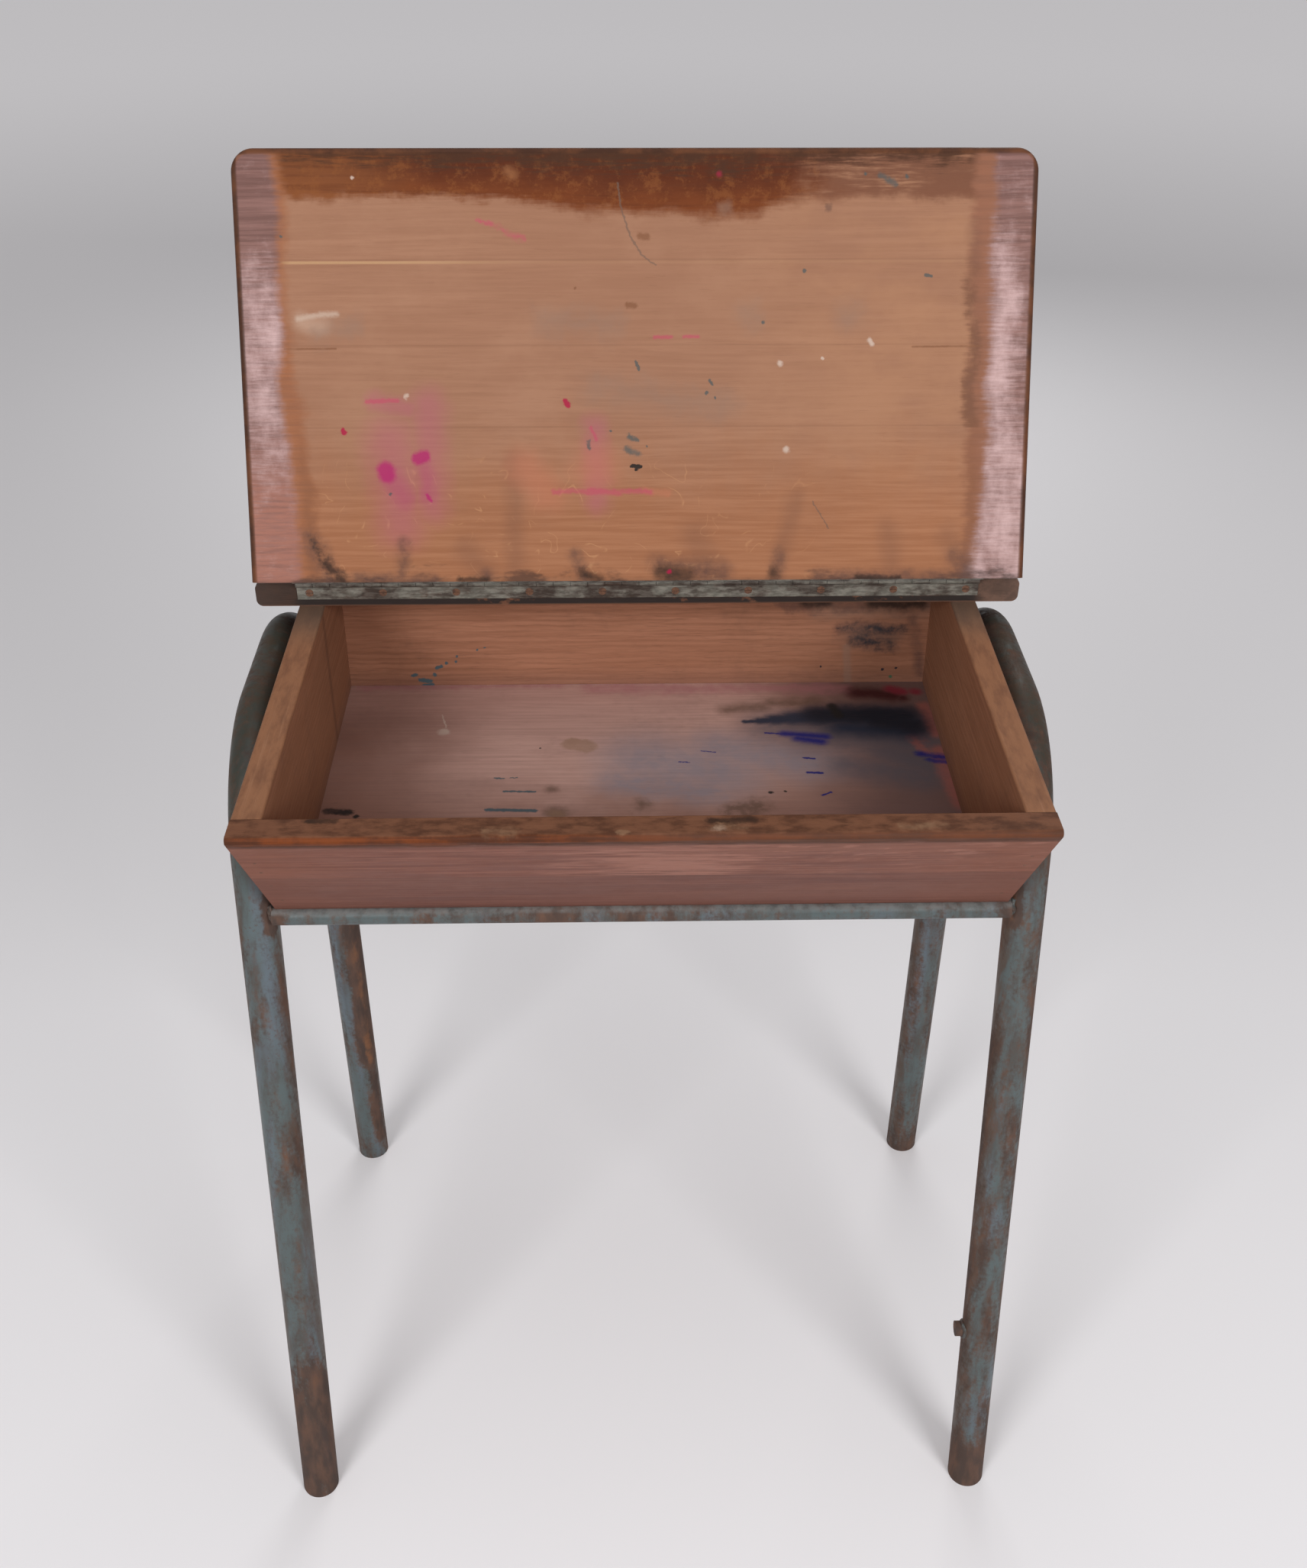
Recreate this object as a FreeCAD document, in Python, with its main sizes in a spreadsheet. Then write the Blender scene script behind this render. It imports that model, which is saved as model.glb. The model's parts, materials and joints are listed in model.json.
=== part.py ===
import FreeCAD, Part
import math
import os
import re
import Sketcher

# School desk with a lift lid. A box of boards sits between two bent tube frames and rests on two
# cross rails. A continuous hinge joins the lid to a fixed board across the back of the rim.
# +X is to the sitter's right, +Y away from the sitter and +Z up. The origin is on the floor,
# midway between the feet. The lid stands open, leaning back past upright.

# Driving sizes in millimetres, and angles in degrees
SIZES = {
    # Side frames
    "tube_diameter": 28.6,
    "tube_wall": 1.6,
    "tube_height": 648.0,
    "bend_radius": 92.0,
    "foot_spread": 376.0,
    "front_splay_angle": 9.5,
    "rear_splay_angle": 2.0,
    "frame_gap": 1.0,
    # Cross rails and the stub of a lost one
    "rail_diameter": 12.7,
    "rail_height": 538.4,
    "front_rail_set": 11.5,
    "rail_overlap": 1.6,
    "weld_gap": 0.1,
    "stub_diameter": 12.0,
    "stub_length": 6.0,
    "stub_height": 152.7,
    # Box
    "box_width": 508.0,
    "box_height": 128.25,
    "board_thickness": 19.0,
    "front_rake_angle": 37.35,
    "front_toe": 0.2,
    "back_heel": 13.844,
    "upper_board_width": 83.5,
    "nose_radius": 3.0,
    "rim_ease": 1.5,
    "floor_thickness": 6.0,
    "floor_rise": 9.95,
    "groove_depth": 7.0,
    "groove_clearance": 0.2,
    # Fixed board across the back of the rim
    "hinge_board_side": 31.0,
    "hinge_board_depth": 98.4,
    "hinge_board_thickness": 19.0,
    "hinge_board_overhang": 8.0,
    # Lid
    "lid_inset": 2.5,
    "lid_length": 300.4,
    "lid_thickness": 19.0,
    "lid_clearance": 0.4,
    "lid_open_angle": 112.5,
    "corner_radius": 16.0,
    "edge_radius": 5.0,
    # Continuous hinge
    "hinge_inset": 31.0,
    "leaf_width": 13.4,
    "leaf_thickness": 1.2,
    "knuckle_diameter": 5.0,
    "knuckle_length": 12.7,
    "knuckle_gap": 0.3,
    "knuckle_clearance": 0.3,
    "pin_diameter": 2.4,
    "pin_clearance": 0.05,
    "axis_rise": 0.4,
    # Screws in the hinge leaves
    "leaf_screw_diameter": 3.0,
    "leaf_screw_head": 6.0,
    "leaf_screw_length": 16.0,
    "leaf_screw_margin": 9.2,
    "leaf_screw_drop": 8.1,
    # Screws down through the fixed board
    "board_screw_diameter": 4.5,
    "board_screw_head": 9.0,
    "board_screw_length": 45.0,
    "board_screw_inset": 22.0,
    # Screws inside the tubes, through their inner walls into the sides of the box
    "frame_screw_diameter": 4.5,
    "frame_screw_head": 9.0,
    "frame_screw_head_height": 2.8,
    "frame_screw_rise": 0.8,
    "frame_screw_length": 17.6,
    "frame_screw_pitch": 60.0,
    # Nails, slots and cuts
    "nail_diameter": 2.2,
    "nail_length": 45.0,
    "slot_width": 0.8,
    "slot_depth": 0.8,
    "fastener_clearance": 0.05,
    "overrun": 20.0,
}

# The two sides, with the sign of X on each
SIDES = {"left": -1, "right": 1}
LEAF_SCREW_COUNT = 10
FRAME_SCREW_COUNT = 2
# The lid's boards from the hinge to the front, and their widths as shares of the lid's length
LID_BOARDS = ("lid_rear_board", "lid_rear_middle_board", "lid_front_middle_board", "lid_front_board")
LID_BOARD_SHARES = (0.361, 0.189, 0.194, 0.256)
# Places of the nails down the raked front and up the back, as shares of those heights
FRONT_NAIL_SHARES = (0.29, 0.42, 0.62, 0.85)
BACK_NAIL_SHARES = (0.2, 0.5, 0.8)
# Length of a screw's point as a share of its length, and of a round head's flat top as a share of its width
POINT_SHARE = 0.2
DOME_SHARE = 0.6
# Differences in place below this are rounding
TINY = 1e-6

# Places worked out from the sizes
TUBE_RADIUS = "(tube_diameter / 2)"
FRAME_X = f"(box_width / 2 + frame_gap + {TUBE_RADIUS})"
FRONT_RAIL_Y = "(rail_height * tan(front_splay_angle) - foot_spread / 2 - front_rail_set)"
REAR_RAIL_Y = "(foot_spread / 2 - rail_height * tan(rear_splay_angle))"
BOX_BOTTOM = "(rail_height + rail_diameter / 2)"
RIM = f"({BOX_BOTTOM} + box_height)"
TOE_Y = f"({FRONT_RAIL_Y} - front_toe)"
NOSE_Y = f"({TOE_Y} - box_height * tan(front_rake_angle))"
BACK_Y = f"({REAR_RAIL_Y} + back_heel)"
FRONT_BEND_Y = (
    "(tube_height * tan(front_splay_angle) - foot_spread / 2"
    " + bend_radius * tan((90 - front_splay_angle) / 2))")
REAR_BEND_Y = (
    "(foot_spread / 2 - tube_height * tan(rear_splay_angle)"
    " - bend_radius * tan((90 - rear_splay_angle) / 2))")
FRONT_RUN = "(board_thickness / cos(front_rake_angle))"
FACE_LENGTH = "(box_height / cos(front_rake_angle))"
SIDE_X = "(box_width / 2 - board_thickness / 2)"
FLOOR_BOTTOM = f"({BOX_BOTTOM} + floor_rise)"
FLOOR_TOP = f"({FLOOR_BOTTOM} + floor_thickness)"
FLOOR_FRONT_Y = f"({NOSE_Y} + ({RIM} - {FLOOR_TOP}) * tan(front_rake_angle) + {FRONT_RUN} - groove_depth)"
FLOOR_BACK_Y = f"({BACK_Y} - board_thickness + groove_depth)"
FLOOR_WIDTH = "(box_width - 2 * board_thickness + 2 * groove_depth)"
HINGE_BOARD_WIDTH = "(box_width + 2 * hinge_board_side)"
LID_WIDTH = f"({HINGE_BOARD_WIDTH} - 2 * lid_inset)"
HINGE_LENGTH = f"({HINGE_BOARD_WIDTH} - 2 * hinge_inset)"
LEAF_SCREW_PITCH = f"(({HINGE_LENGTH} - 2 * leaf_screw_margin) / {LEAF_SCREW_COUNT - 1})"
HINGE_BOARD_FRONT_Y = f"({BACK_Y} + hinge_board_overhang - hinge_board_depth)"
HINGE_BOARD_TOP = f"({RIM} + hinge_board_thickness)"
AXIS_SET = "(knuckle_diameter / 2 + knuckle_clearance)"
AXIS_Y = f"({HINGE_BOARD_FRONT_Y} - {AXIS_SET})"
AXIS_Z = f"({HINGE_BOARD_TOP} + axis_rise)"
LID_UNDERSIDE = "(lid_clearance - hinge_board_thickness - axis_rise)"

doc = FreeCAD.newDocument("school_desk")
sheet = doc.addObject("Spreadsheet::Sheet", "sizes")
for row, (alias, size) in enumerate(SIZES.items(), start=1):
    sheet.set(f"A{row}", alias)
    sheet.set(f"B{row}", str(size))
    sheet.setAlias(f"B{row}", alias)
doc.recompute()

ALIAS = re.compile(r"\b(" + "|".join(SIZES) + r")\b")


def in_sheet(expression):
    """The expression with each size's name turned into its cell's alias."""
    return ALIAS.sub(r"sizes.\1", expression)


def value(expression):
    """The expression's present value."""
    return float(sheet.evalExpression(in_sheet(expression)))


def bind(target, name, expression):
    """Ties a property to the sheet."""
    target.setExpression(name, in_sheet(expression))


def place(x="0", y="0", z="0", axis="1; 0; 0", angle="0"):
    """A placement in the desk's frame."""
    return f"placement(vector({x}; {y}; {z}); rotation(vector({axis}); {angle}))"


def place_on_lid(x="0", y="0", z="0", turn="0"):
    """A placement in the lid's own frame, whose origin is on the hinge axis. The closed lid lies along -Y."""
    across = f"{AXIS_Y} + ({y}) * cos(lid_open_angle) + ({z}) * sin(lid_open_angle)"
    up = f"{AXIS_Z} - ({y}) * sin(lid_open_angle) + ({z}) * cos(lid_open_angle)"
    return place(x, across, up, angle=f"{turn} - lid_open_angle")


def make_body(name, where):
    body = doc.addObject("PartDesign::Body", name)
    bind(body, "Placement", where)
    return body


def origin_plane(body, role):
    return next(feature for feature in body.Origin.OriginFeatures if feature.Role == role)


def make_sketch(body, plane, name, shift="0"):
    """An empty sketch on one of the body's own planes, moved along the plane's normal."""
    sketch = body.newObject("Sketcher::SketchObject", name)
    sketch.AttachmentSupport = [(origin_plane(body, plane), "")]
    sketch.MapMode = "FlatFace"
    bind(sketch, "AttachmentOffset.Base.z", shift)
    return sketch


def hold_point(sketch, line, point, across, up):
    """Ties one end of a line to a place in the sketch."""
    for kind, expression in (("DistanceX", across), ("DistanceY", up)):
        constraint = Sketcher.Constraint(kind, -1, 1, line, point, value(expression))
        bind(sketch, f"Constraints[{sketch.addConstraint(constraint)}]", expression)


def draw_outline(sketch, corners):
    """A closed outline of straight lines, with each corner tied to the sheet."""
    points = [FreeCAD.Vector(value(across), value(up), 0) for across, up in corners]
    lines = range(len(points))
    for line in lines:
        sketch.addGeometry(Part.LineSegment(points[line], points[(line + 1) % len(points)]), False)
    for line in lines:
        sketch.addConstraint(Sketcher.Constraint("Coincident", line, 2, (line + 1) % len(points), 1))
    for line, (across, up) in enumerate(corners):
        hold_point(sketch, line, 1, across, up)


def draw_rectangle(sketch, left, right, low, high):
    draw_outline(sketch, [(left, low), (right, low), (right, high), (left, high)])


def draw_circle(sketch, diameter):
    """A circle about the sketch's origin."""
    size = value(diameter)
    circle = sketch.addGeometry(Part.Circle(FreeCAD.Vector(), FreeCAD.Vector(0, 0, 1), size / 2), False)
    sketch.addConstraint(Sketcher.Constraint("Coincident", circle, 3, -1, 1))
    index = sketch.addConstraint(Sketcher.Constraint("Diameter", circle, size))
    bind(sketch, f"Constraints[{index}]", diameter)


def add_pad(body, sketch, length, downward=False):
    pad = body.newObject("PartDesign::Pad", f"{sketch.Name}_pad")
    pad.Profile = sketch
    pad.Reversed = downward
    bind(pad, "Length", length)
    doc.recompute()
    return pad


def add_pocket(body, sketch, depth):
    """A cut from the sketch against its normal, which has to take something away."""
    before = body.Shape.Volume
    pocket = body.newObject("PartDesign::Pocket", f"{sketch.Name}_pocket")
    pocket.Profile = sketch
    bind(pocket, "Length", depth)
    doc.recompute()
    if body.Shape.Volume >= before:
        raise RuntimeError(f"{pocket.Name} cuts nothing")
    return pocket


def add_fillet(body, feature, radius, wanted):
    """Rounds the edges of a feature that the test picks."""
    edges = [
        f"Edge{index}" for index, edge in enumerate(feature.Shape.Edges, start=1) if wanted(edge.BoundBox)
    ]
    fillet = body.newObject("PartDesign::Fillet", f"{feature.Name}_round")
    fillet.Base = (feature, edges)
    bind(fillet, "Radius", radius)
    doc.recompute()
    return fillet


def add_row(body, features, pitch, count):
    """Repeats features along the body's X axis."""
    row = body.newObject("PartDesign::LinearPattern", f"{features[0].Name}_row")
    row.Originals = features
    row.Direction = (origin_plane(body, "YZ_Plane"), [""])
    row.Mode = "Spacing"
    bind(row, "Offset", pitch)
    row.Occurrences = count
    body.Tip = row
    doc.recompute()
    return row


def make_box(name, width, depth, height, where):
    box = doc.addObject("Part::Box", name)
    for side, expression in (("Length", width), ("Width", depth), ("Height", height)):
        bind(box, side, expression)
    bind(box, "Placement", where)
    return box


def make_bar(name, diameter, length, where):
    bar = doc.addObject("Part::Cylinder", name)
    bind(bar, "Radius", f"({diameter}) / 2")
    bind(bar, "Height", length)
    bind(bar, "Placement", where)
    return bar


def make_cut(name, base, *tools):
    """The base with each tool cut from it in turn."""
    for step, tool in enumerate(tools, start=1):
        cut = doc.addObject("Part::Cut", name if step == len(tools) else f"{name}_cut_{step}")
        cut.Base = base
        cut.Tool = tool
        base = cut
    return base


def make_group(name, pieces):
    group = doc.addObject("Part::Compound", name)
    group.Links = pieces
    return group


def level(length):
    return length < TINY


def near(first, second):
    return abs(first - second) < TINY


# Screws and nails


def round_head_profile(room, outward):
    """Half of a round-headed screw, with its seat at zero and its shank downward."""
    shank = f"frame_screw_diameter / 2 + {room}"
    head = f"frame_screw_head / 2 + {room}"
    end = f"-frame_screw_length - {room}"
    return [
        ("0", outward),
        (f"({head}) * {DOME_SHARE}" if room == "0" else head, outward),
        (head, "0"),
        (shank, "0"),
        (shank, f"({end}) * {1 - POINT_SHARE}" if room == "0" else end),
        ("0", end),
    ]


def countersunk_profile(kind, room):
    """Half of a countersunk screw, with its flat head at zero and its shank downward."""
    shank = f"{kind}_diameter / 2 + {room}"
    head = f"{kind}_head / 2 + {room}"
    end = f"-{kind}_length - {room}"
    return [
        ("0", "0"),
        (head, "0"),
        (shank, f"({kind}_diameter - {kind}_head) / 2"),
        (shank, f"({end}) * {1 - POINT_SHARE}" if room == "0" else end),
        ("0", end),
    ]


def screw_row(name, profile, slot, pitch, count, where):
    """A row of screws turned from one profile. The slot is its length and the height of the head's top."""
    screws = make_body(name, where)
    half = make_sketch(screws, "XZ_Plane", f"{name}_half")
    draw_outline(half, profile)
    turned = screws.newObject("PartDesign::Revolution", f"{name}_turned")
    turned.Profile = half
    turned.ReferenceAxis = (half, ["V_Axis"])
    doc.recompute()
    features = [turned]
    if slot:
        length, top = slot
        groove = make_sketch(screws, "XY_Plane", f"{name}_slot", top)
        draw_rectangle(groove, f"-{length}", length, "-slot_width / 2", "slot_width / 2")
        features.append(add_pocket(screws, groove, "slot_depth"))
    add_row(screws, features, pitch, count)
    return screws


def row_start(pitch, count):
    return f"-{(count - 1) / 2} * {pitch}"


def frame_screw_row(name, side, room, outward, slot):
    """Screws through the inner wall of a tube's level run, put in by holes in its outer wall."""
    seat = f"{side} * ({FRAME_X} - {TUBE_RADIUS} + tube_wall + frame_screw_rise)"
    middle = f"({FRONT_BEND_Y} + {REAR_BEND_Y}) / 2"
    start = f"{middle} + {side} * {row_start('frame_screw_pitch', FRAME_SCREW_COUNT)}"
    # A third of a turn about this diagonal sets the heads outward and the row along Y
    where = place(seat, start, "tube_height", f"1; {side}; {side}", "360 / 3")
    profile = round_head_profile(room, outward)
    return screw_row(name, profile, slot, "frame_screw_pitch", FRAME_SCREW_COUNT, where)


frame_slot = ("frame_screw_head", "frame_screw_head_height")
frame_screws = make_group("frame_screws", [
    frame_screw_row(f"{name}_frame_screws", side, "0", "frame_screw_head_height", frame_slot)
    for name, side in SIDES.items()
])
frame_screw_holes = {
    side: frame_screw_row(f"{name}_frame_screw_holes", side, "fastener_clearance", "tube_diameter", None)
    for name, side in SIDES.items()
}


def nail_group(name, places, room):
    return make_group(name, [
        make_bar(f"{name}_{index}", f"nail_diameter + 2 * {room}", f"nail_length + {room}", where)
        for index, where in enumerate(places, start=1)
    ])


front_nail_places = [
    place(
        f"{side} * {SIDE_X}",
        f"{NOSE_Y} + {share} * {FACE_LENGTH} * sin(front_rake_angle)",
        f"{RIM} - {share} * {FACE_LENGTH} * cos(front_rake_angle)",
        angle="front_rake_angle - 90")
    for side in SIDES.values()
    for share in FRONT_NAIL_SHARES
]
back_nail_places = [
    place(
        f"{side} * box_width / 2", f"{BACK_Y} - board_thickness / 2", f"{BOX_BOTTOM} + {share} * box_height",
        "0; 1; 0", f"-{side} * 90")
    for side in SIDES.values()
    for share in BACK_NAIL_SHARES
]
front_nails = nail_group("front_nails", front_nail_places, "0")
back_nails = nail_group("back_nails", back_nail_places, "0")
front_nail_holes = nail_group("front_nail_holes", front_nail_places, "fastener_clearance")
back_nail_holes = nail_group("back_nail_holes", back_nail_places, "fastener_clearance")


def leaf_screw_row(name, room, slot, where):
    profile = countersunk_profile("leaf_screw", room)
    return screw_row(name, profile, slot, LEAF_SCREW_PITCH, LEAF_SCREW_COUNT, where)


LEAF_FACE = f"({AXIS_SET} - leaf_thickness)"
leaf_screw_start = row_start(LEAF_SCREW_PITCH, LEAF_SCREW_COUNT)
on_fixed_leaf = place(leaf_screw_start, f"{AXIS_Y} + {LEAF_FACE}", f"{AXIS_Z} - leaf_screw_drop", angle="90")
on_lid_leaf = place_on_lid(leaf_screw_start, f"-{LEAF_FACE}", "-leaf_screw_drop", "-90")
leaf_slot = ("leaf_screw_head", "0")
fixed_leaf_screws = leaf_screw_row("fixed_leaf_screws", "0", leaf_slot, on_fixed_leaf)
lid_leaf_screws = leaf_screw_row("lid_leaf_screws", "0", leaf_slot, on_lid_leaf)
fixed_leaf_holes = leaf_screw_row("fixed_leaf_holes", "fastener_clearance", None, on_fixed_leaf)
lid_leaf_holes = leaf_screw_row("lid_leaf_holes", "fastener_clearance", None, on_lid_leaf)


def board_screw_group(name, room, slot):
    """Two rows of two screws down into the sides of the box, one near the hinge and one near the back."""
    rows = {
        "front": f"{HINGE_BOARD_FRONT_Y} + board_screw_inset",
        "rear": f"{BACK_Y} - board_screw_inset",
    }
    return make_group(name, [
        screw_row(
            f"{name}_{end}", countersunk_profile("board_screw", room), slot, f"2 * {SIDE_X}", len(SIDES),
            place(f"-{SIDE_X}", y, HINGE_BOARD_TOP))
        for end, y in rows.items()
    ])


hinge_board_screws = board_screw_group("hinge_board_screws", "0", ("board_screw_head", "0"))
board_screw_holes = board_screw_group("board_screw_holes", "fastener_clearance", None)


# Side frames


def draw_frame_path(sketch):
    """The tube's axis from below one foot, over the two bends, to below the other foot."""
    front_foot = ("-foot_spread / 2 - overrun * tan(front_splay_angle)", "-overrun")
    rear_foot = ("foot_spread / 2 + overrun * tan(rear_splay_angle)", "-overrun")
    radius = value("bend_radius")
    top = value("tube_height")
    front = math.radians(value("front_splay_angle"))
    rear = math.radians(value("rear_splay_angle"))
    front_bend = FreeCAD.Vector(value(FRONT_BEND_Y), top - radius, 0)
    rear_bend = FreeCAD.Vector(value(REAR_BEND_Y), top - radius, 0)
    rise = FreeCAD.Vector(0, radius, 0)
    front_side = FreeCAD.Vector(-radius * math.cos(front), radius * math.sin(front), 0)
    rear_side = FreeCAD.Vector(radius * math.cos(rear), radius * math.sin(rear), 0)
    up = FreeCAD.Vector(0, 0, 1)
    front_leg, front_arc, top_run, rear_arc, rear_leg = sketch.addGeometry([
        Part.LineSegment(FreeCAD.Vector(*map(value, front_foot), 0), front_bend + front_side),
        Part.ArcOfCircle(Part.Circle(front_bend, up, radius), math.pi / 2, math.pi - front),
        Part.LineSegment(front_bend + rise, rear_bend + rise),
        Part.ArcOfCircle(Part.Circle(rear_bend, up, radius), rear, math.pi / 2),
        Part.LineSegment(rear_bend + rear_side, FreeCAD.Vector(*map(value, rear_foot), 0)),
    ], False)
    sketch.addConstraint([
        Sketcher.Constraint("Tangent", front_leg, 2, front_arc, 2),
        Sketcher.Constraint("Tangent", front_arc, 1, top_run, 1),
        Sketcher.Constraint("Tangent", top_run, 2, rear_arc, 2),
        Sketcher.Constraint("Tangent", rear_arc, 1, rear_leg, 1),
        Sketcher.Constraint("Horizontal", top_run),
    ])
    hold_point(sketch, front_leg, 1, *front_foot)
    hold_point(sketch, rear_leg, 2, *rear_foot)
    held = [
        (Sketcher.Constraint("DistanceY", -1, 1, top_run, 1, top), "tube_height"),
        (Sketcher.Constraint("Radius", front_arc, radius), "bend_radius"),
        (Sketcher.Constraint("Radius", rear_arc, radius), "bend_radius"),
        (Sketcher.Constraint("Angle", front_leg, math.pi / 2 - front), "(90 - front_splay_angle) * 1 deg"),
        (Sketcher.Constraint("Angle", rear_leg, rear - math.pi / 2), "(rear_splay_angle - 90) * 1 deg"),
    ]
    for constraint, expression in held:
        bind(sketch, f"Constraints[{sketch.addConstraint(constraint)}]", expression)


def side_frame(name, side):
    """One tube bent into an inverted U, with its ends cut level with the floor."""
    frame = make_body(f"{name}_blank", place(x=f"{side} * {FRAME_X}"))
    path = make_sketch(frame, "YZ_Plane", f"{name}_path")
    draw_frame_path(path)
    doc.recompute()
    section = frame.newObject("Sketcher::SketchObject", f"{name}_section")
    section.AttachmentSupport = [(path, "Edge1")]
    section.MapMode = "NormalToEdge"
    draw_circle(section, "tube_diameter")
    draw_circle(section, "tube_diameter - 2 * tube_wall")
    doc.recompute()
    pipe = frame.newObject("PartDesign::AdditivePipe", f"{name}_tube")
    pipe.Profile = section
    pipe.Spine = path
    doc.recompute()
    below = make_sketch(frame, "XY_Plane", f"{name}_below_floor")
    reach = "(foot_spread / 2 + tube_diameter + overrun)"
    draw_rectangle(below, "-tube_diameter", "tube_diameter", f"-{reach}", reach)
    add_pocket(frame, below, "2 * overrun + tube_diameter")
    return make_cut(name, frame, frame_screw_holes[side])


left_side_frame = side_frame("left_side_frame", SIDES["left"])
right_side_frame = side_frame("right_side_frame", SIDES["right"])


# Cross rails and the stub


def leg_space(name, side, foot_y, lean):
    """The space that a leg takes, with room for the weld, to cope what meets it."""
    foot = place(f"{side} * {FRAME_X}", foot_y, "0", angle=lean)
    return make_bar(name, "tube_diameter + 2 * weld_gap", "tube_height", foot)


FRONT_LEG = ("-foot_spread / 2", "-front_splay_angle")
REAR_LEG = ("foot_spread / 2", "rear_splay_angle")
leg_spaces = {
    (end, side): leg_space(f"{end}_{name}_leg_space", side, *leg)
    for end, leg in (("front", FRONT_LEG), ("rear", REAR_LEG))
    for name, side in SIDES.items()
}


def cross_rail(end, rail_y):
    """A bar between two legs, coped to the tubes."""
    half_length = "(box_width / 2 + frame_gap + rail_overlap)"
    where = place(f"-{half_length}", rail_y, "rail_height", "0; 1; 0", "90")
    bar = make_bar(f"{end}_rail_bar", "rail_diameter", f"2 * {half_length}", where)
    return make_cut(f"{end}_rail", bar, *(leg_spaces[end, side] for side in SIDES.values()))


front_rail = cross_rail("front", FRONT_RAIL_Y)
rear_rail = cross_rail("rear", REAR_RAIL_Y)

stub_y = "stub_height * tan(front_splay_angle) - foot_spread / 2"
stub_bar = make_bar(
    "stretcher_stub_bar", "stub_diameter", f"{TUBE_RADIUS} + stub_length",
    place(f"{FRAME_X} - {TUBE_RADIUS} - stub_length", stub_y, "stub_height", "0; 1; 0", "90"))
stretcher_stub = make_cut("stretcher_stub", stub_bar, leg_spaces["front", SIDES["right"]])


# Box


def across_box(name, outline):
    """A piece of one section right across the box."""
    body = make_body(name, place(x="-box_width / 2"))
    sketch = make_sketch(body, "YZ_Plane", f"{name}_section")
    draw_outline(sketch, outline)
    return body, add_pad(body, sketch, "box_width")


def on_front(distance, depth="0"):
    """A point a distance down the raked face and a depth into the board."""
    return (
        f"{NOSE_Y} + ({distance}) * sin(front_rake_angle) + ({depth}) * cos(front_rake_angle)",
        f"{RIM} - ({distance}) * cos(front_rake_angle) + ({depth}) * sin(front_rake_angle)",
    )


floor_panel = make_box(
    "floor_panel", FLOOR_WIDTH, f"{FLOOR_BACK_Y} - {FLOOR_FRONT_Y}", "floor_thickness",
    place(f"-{FLOOR_WIDTH} / 2", FLOOR_FRONT_Y, FLOOR_BOTTOM))
floor_groove = make_box(
    "floor_groove", f"{FLOOR_WIDTH} + 2 * groove_clearance",
    f"{FLOOR_BACK_Y} - {FLOOR_FRONT_Y} + 2 * groove_clearance", "floor_thickness + 2 * groove_clearance",
    place(
        f"-{FLOOR_WIDTH} / 2 - groove_clearance", f"{FLOOR_FRONT_Y} - groove_clearance",
        f"{FLOOR_BOTTOM} - groove_clearance"))

seam_outside = on_front("upper_board_width")
seam_inside = on_front("upper_board_width", "board_thickness")
rim_inside = (f"{NOSE_Y} + {FRONT_RUN}", RIM)
toe_inside = (f"{TOE_Y} + {FRONT_RUN}", BOX_BOTTOM)


def front_upper_board():
    """The upper board of the raked front, with its top cut level and its nose rounded."""
    body, board = across_box("front_upper_blank", [(NOSE_Y, RIM), seam_outside, seam_inside, rim_inside])
    nose_y = value(NOSE_Y)
    inside_y = value(rim_inside[0])
    nose = add_fillet(body, board, "nose_radius", lambda box: level(box.YLength) and near(box.YMin, nose_y))
    rim = value(RIM)
    add_fillet(
        body, nose, "rim_ease",
        lambda box: level(box.YLength) and near(box.YMin, inside_y) and near(box.ZMin, rim))
    return make_cut("front_upper_board", body, front_nail_holes)


def front_lower_board():
    """The lower board of the raked front, with its lower edge cut level to sit on the rail."""
    body, _ = across_box("front_lower_blank", [seam_outside, (TOE_Y, BOX_BOTTOM), toe_inside, seam_inside])
    return make_cut("front_lower_board", body, floor_groove, front_nail_holes)


def side_board(name, left, side):
    """A side of the box, with its front end raked to meet the front boards."""
    body = make_body(f"{name}_blank", place(x=left))
    sketch = make_sketch(body, "YZ_Plane", f"{name}_outline")
    draw_outline(sketch, [rim_inside, toe_inside, (BACK_Y, BOX_BOTTOM), (BACK_Y, RIM)])
    board = add_pad(body, sketch, "board_thickness")
    rim = value(RIM)
    add_fillet(
        body, board, "rim_ease",
        lambda box: level(box.XLength) and level(box.ZLength) and near(box.ZMin, rim))
    holes = (front_nail_holes, back_nail_holes, board_screw_holes, frame_screw_holes[side])
    return make_cut(name, body, floor_groove, *holes)


front_upper = front_upper_board()
front_lower = front_lower_board()
left_side_board = side_board("left_side_board", "-box_width / 2", SIDES["left"])
right_side_board = side_board("right_side_board", "box_width / 2 - board_thickness", SIDES["right"])
back_blank = make_box(
    "back_blank", "box_width - 2 * board_thickness", "board_thickness", "box_height",
    place("board_thickness - box_width / 2", f"{BACK_Y} - board_thickness", BOX_BOTTOM))
back_board = make_cut("back_board", back_blank, floor_groove, back_nail_holes)


# Boards with rounded edges


def flat_board(name, width, near_y, depth, thickness, where, corners_y, rounded):
    """A level board. Its plan corners at one end are rounded, then the picked edges of its two faces."""
    body = make_body(name, where)
    plan = make_sketch(body, "XY_Plane", f"{name}_plan")
    draw_rectangle(plan, f"-{width} / 2", f"{width} / 2", near_y, f"{near_y} + {depth}")
    feature = add_pad(body, plan, thickness)
    if corners_y:
        end = value(corners_y)
        feature = add_fillet(
            body, feature, "corner_radius",
            lambda box: level(box.XLength) and level(box.YLength) and near(box.YMin, end))
    add_fillet(body, feature, "edge_radius", lambda box: level(box.ZLength) and rounded(box))
    return body


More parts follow.
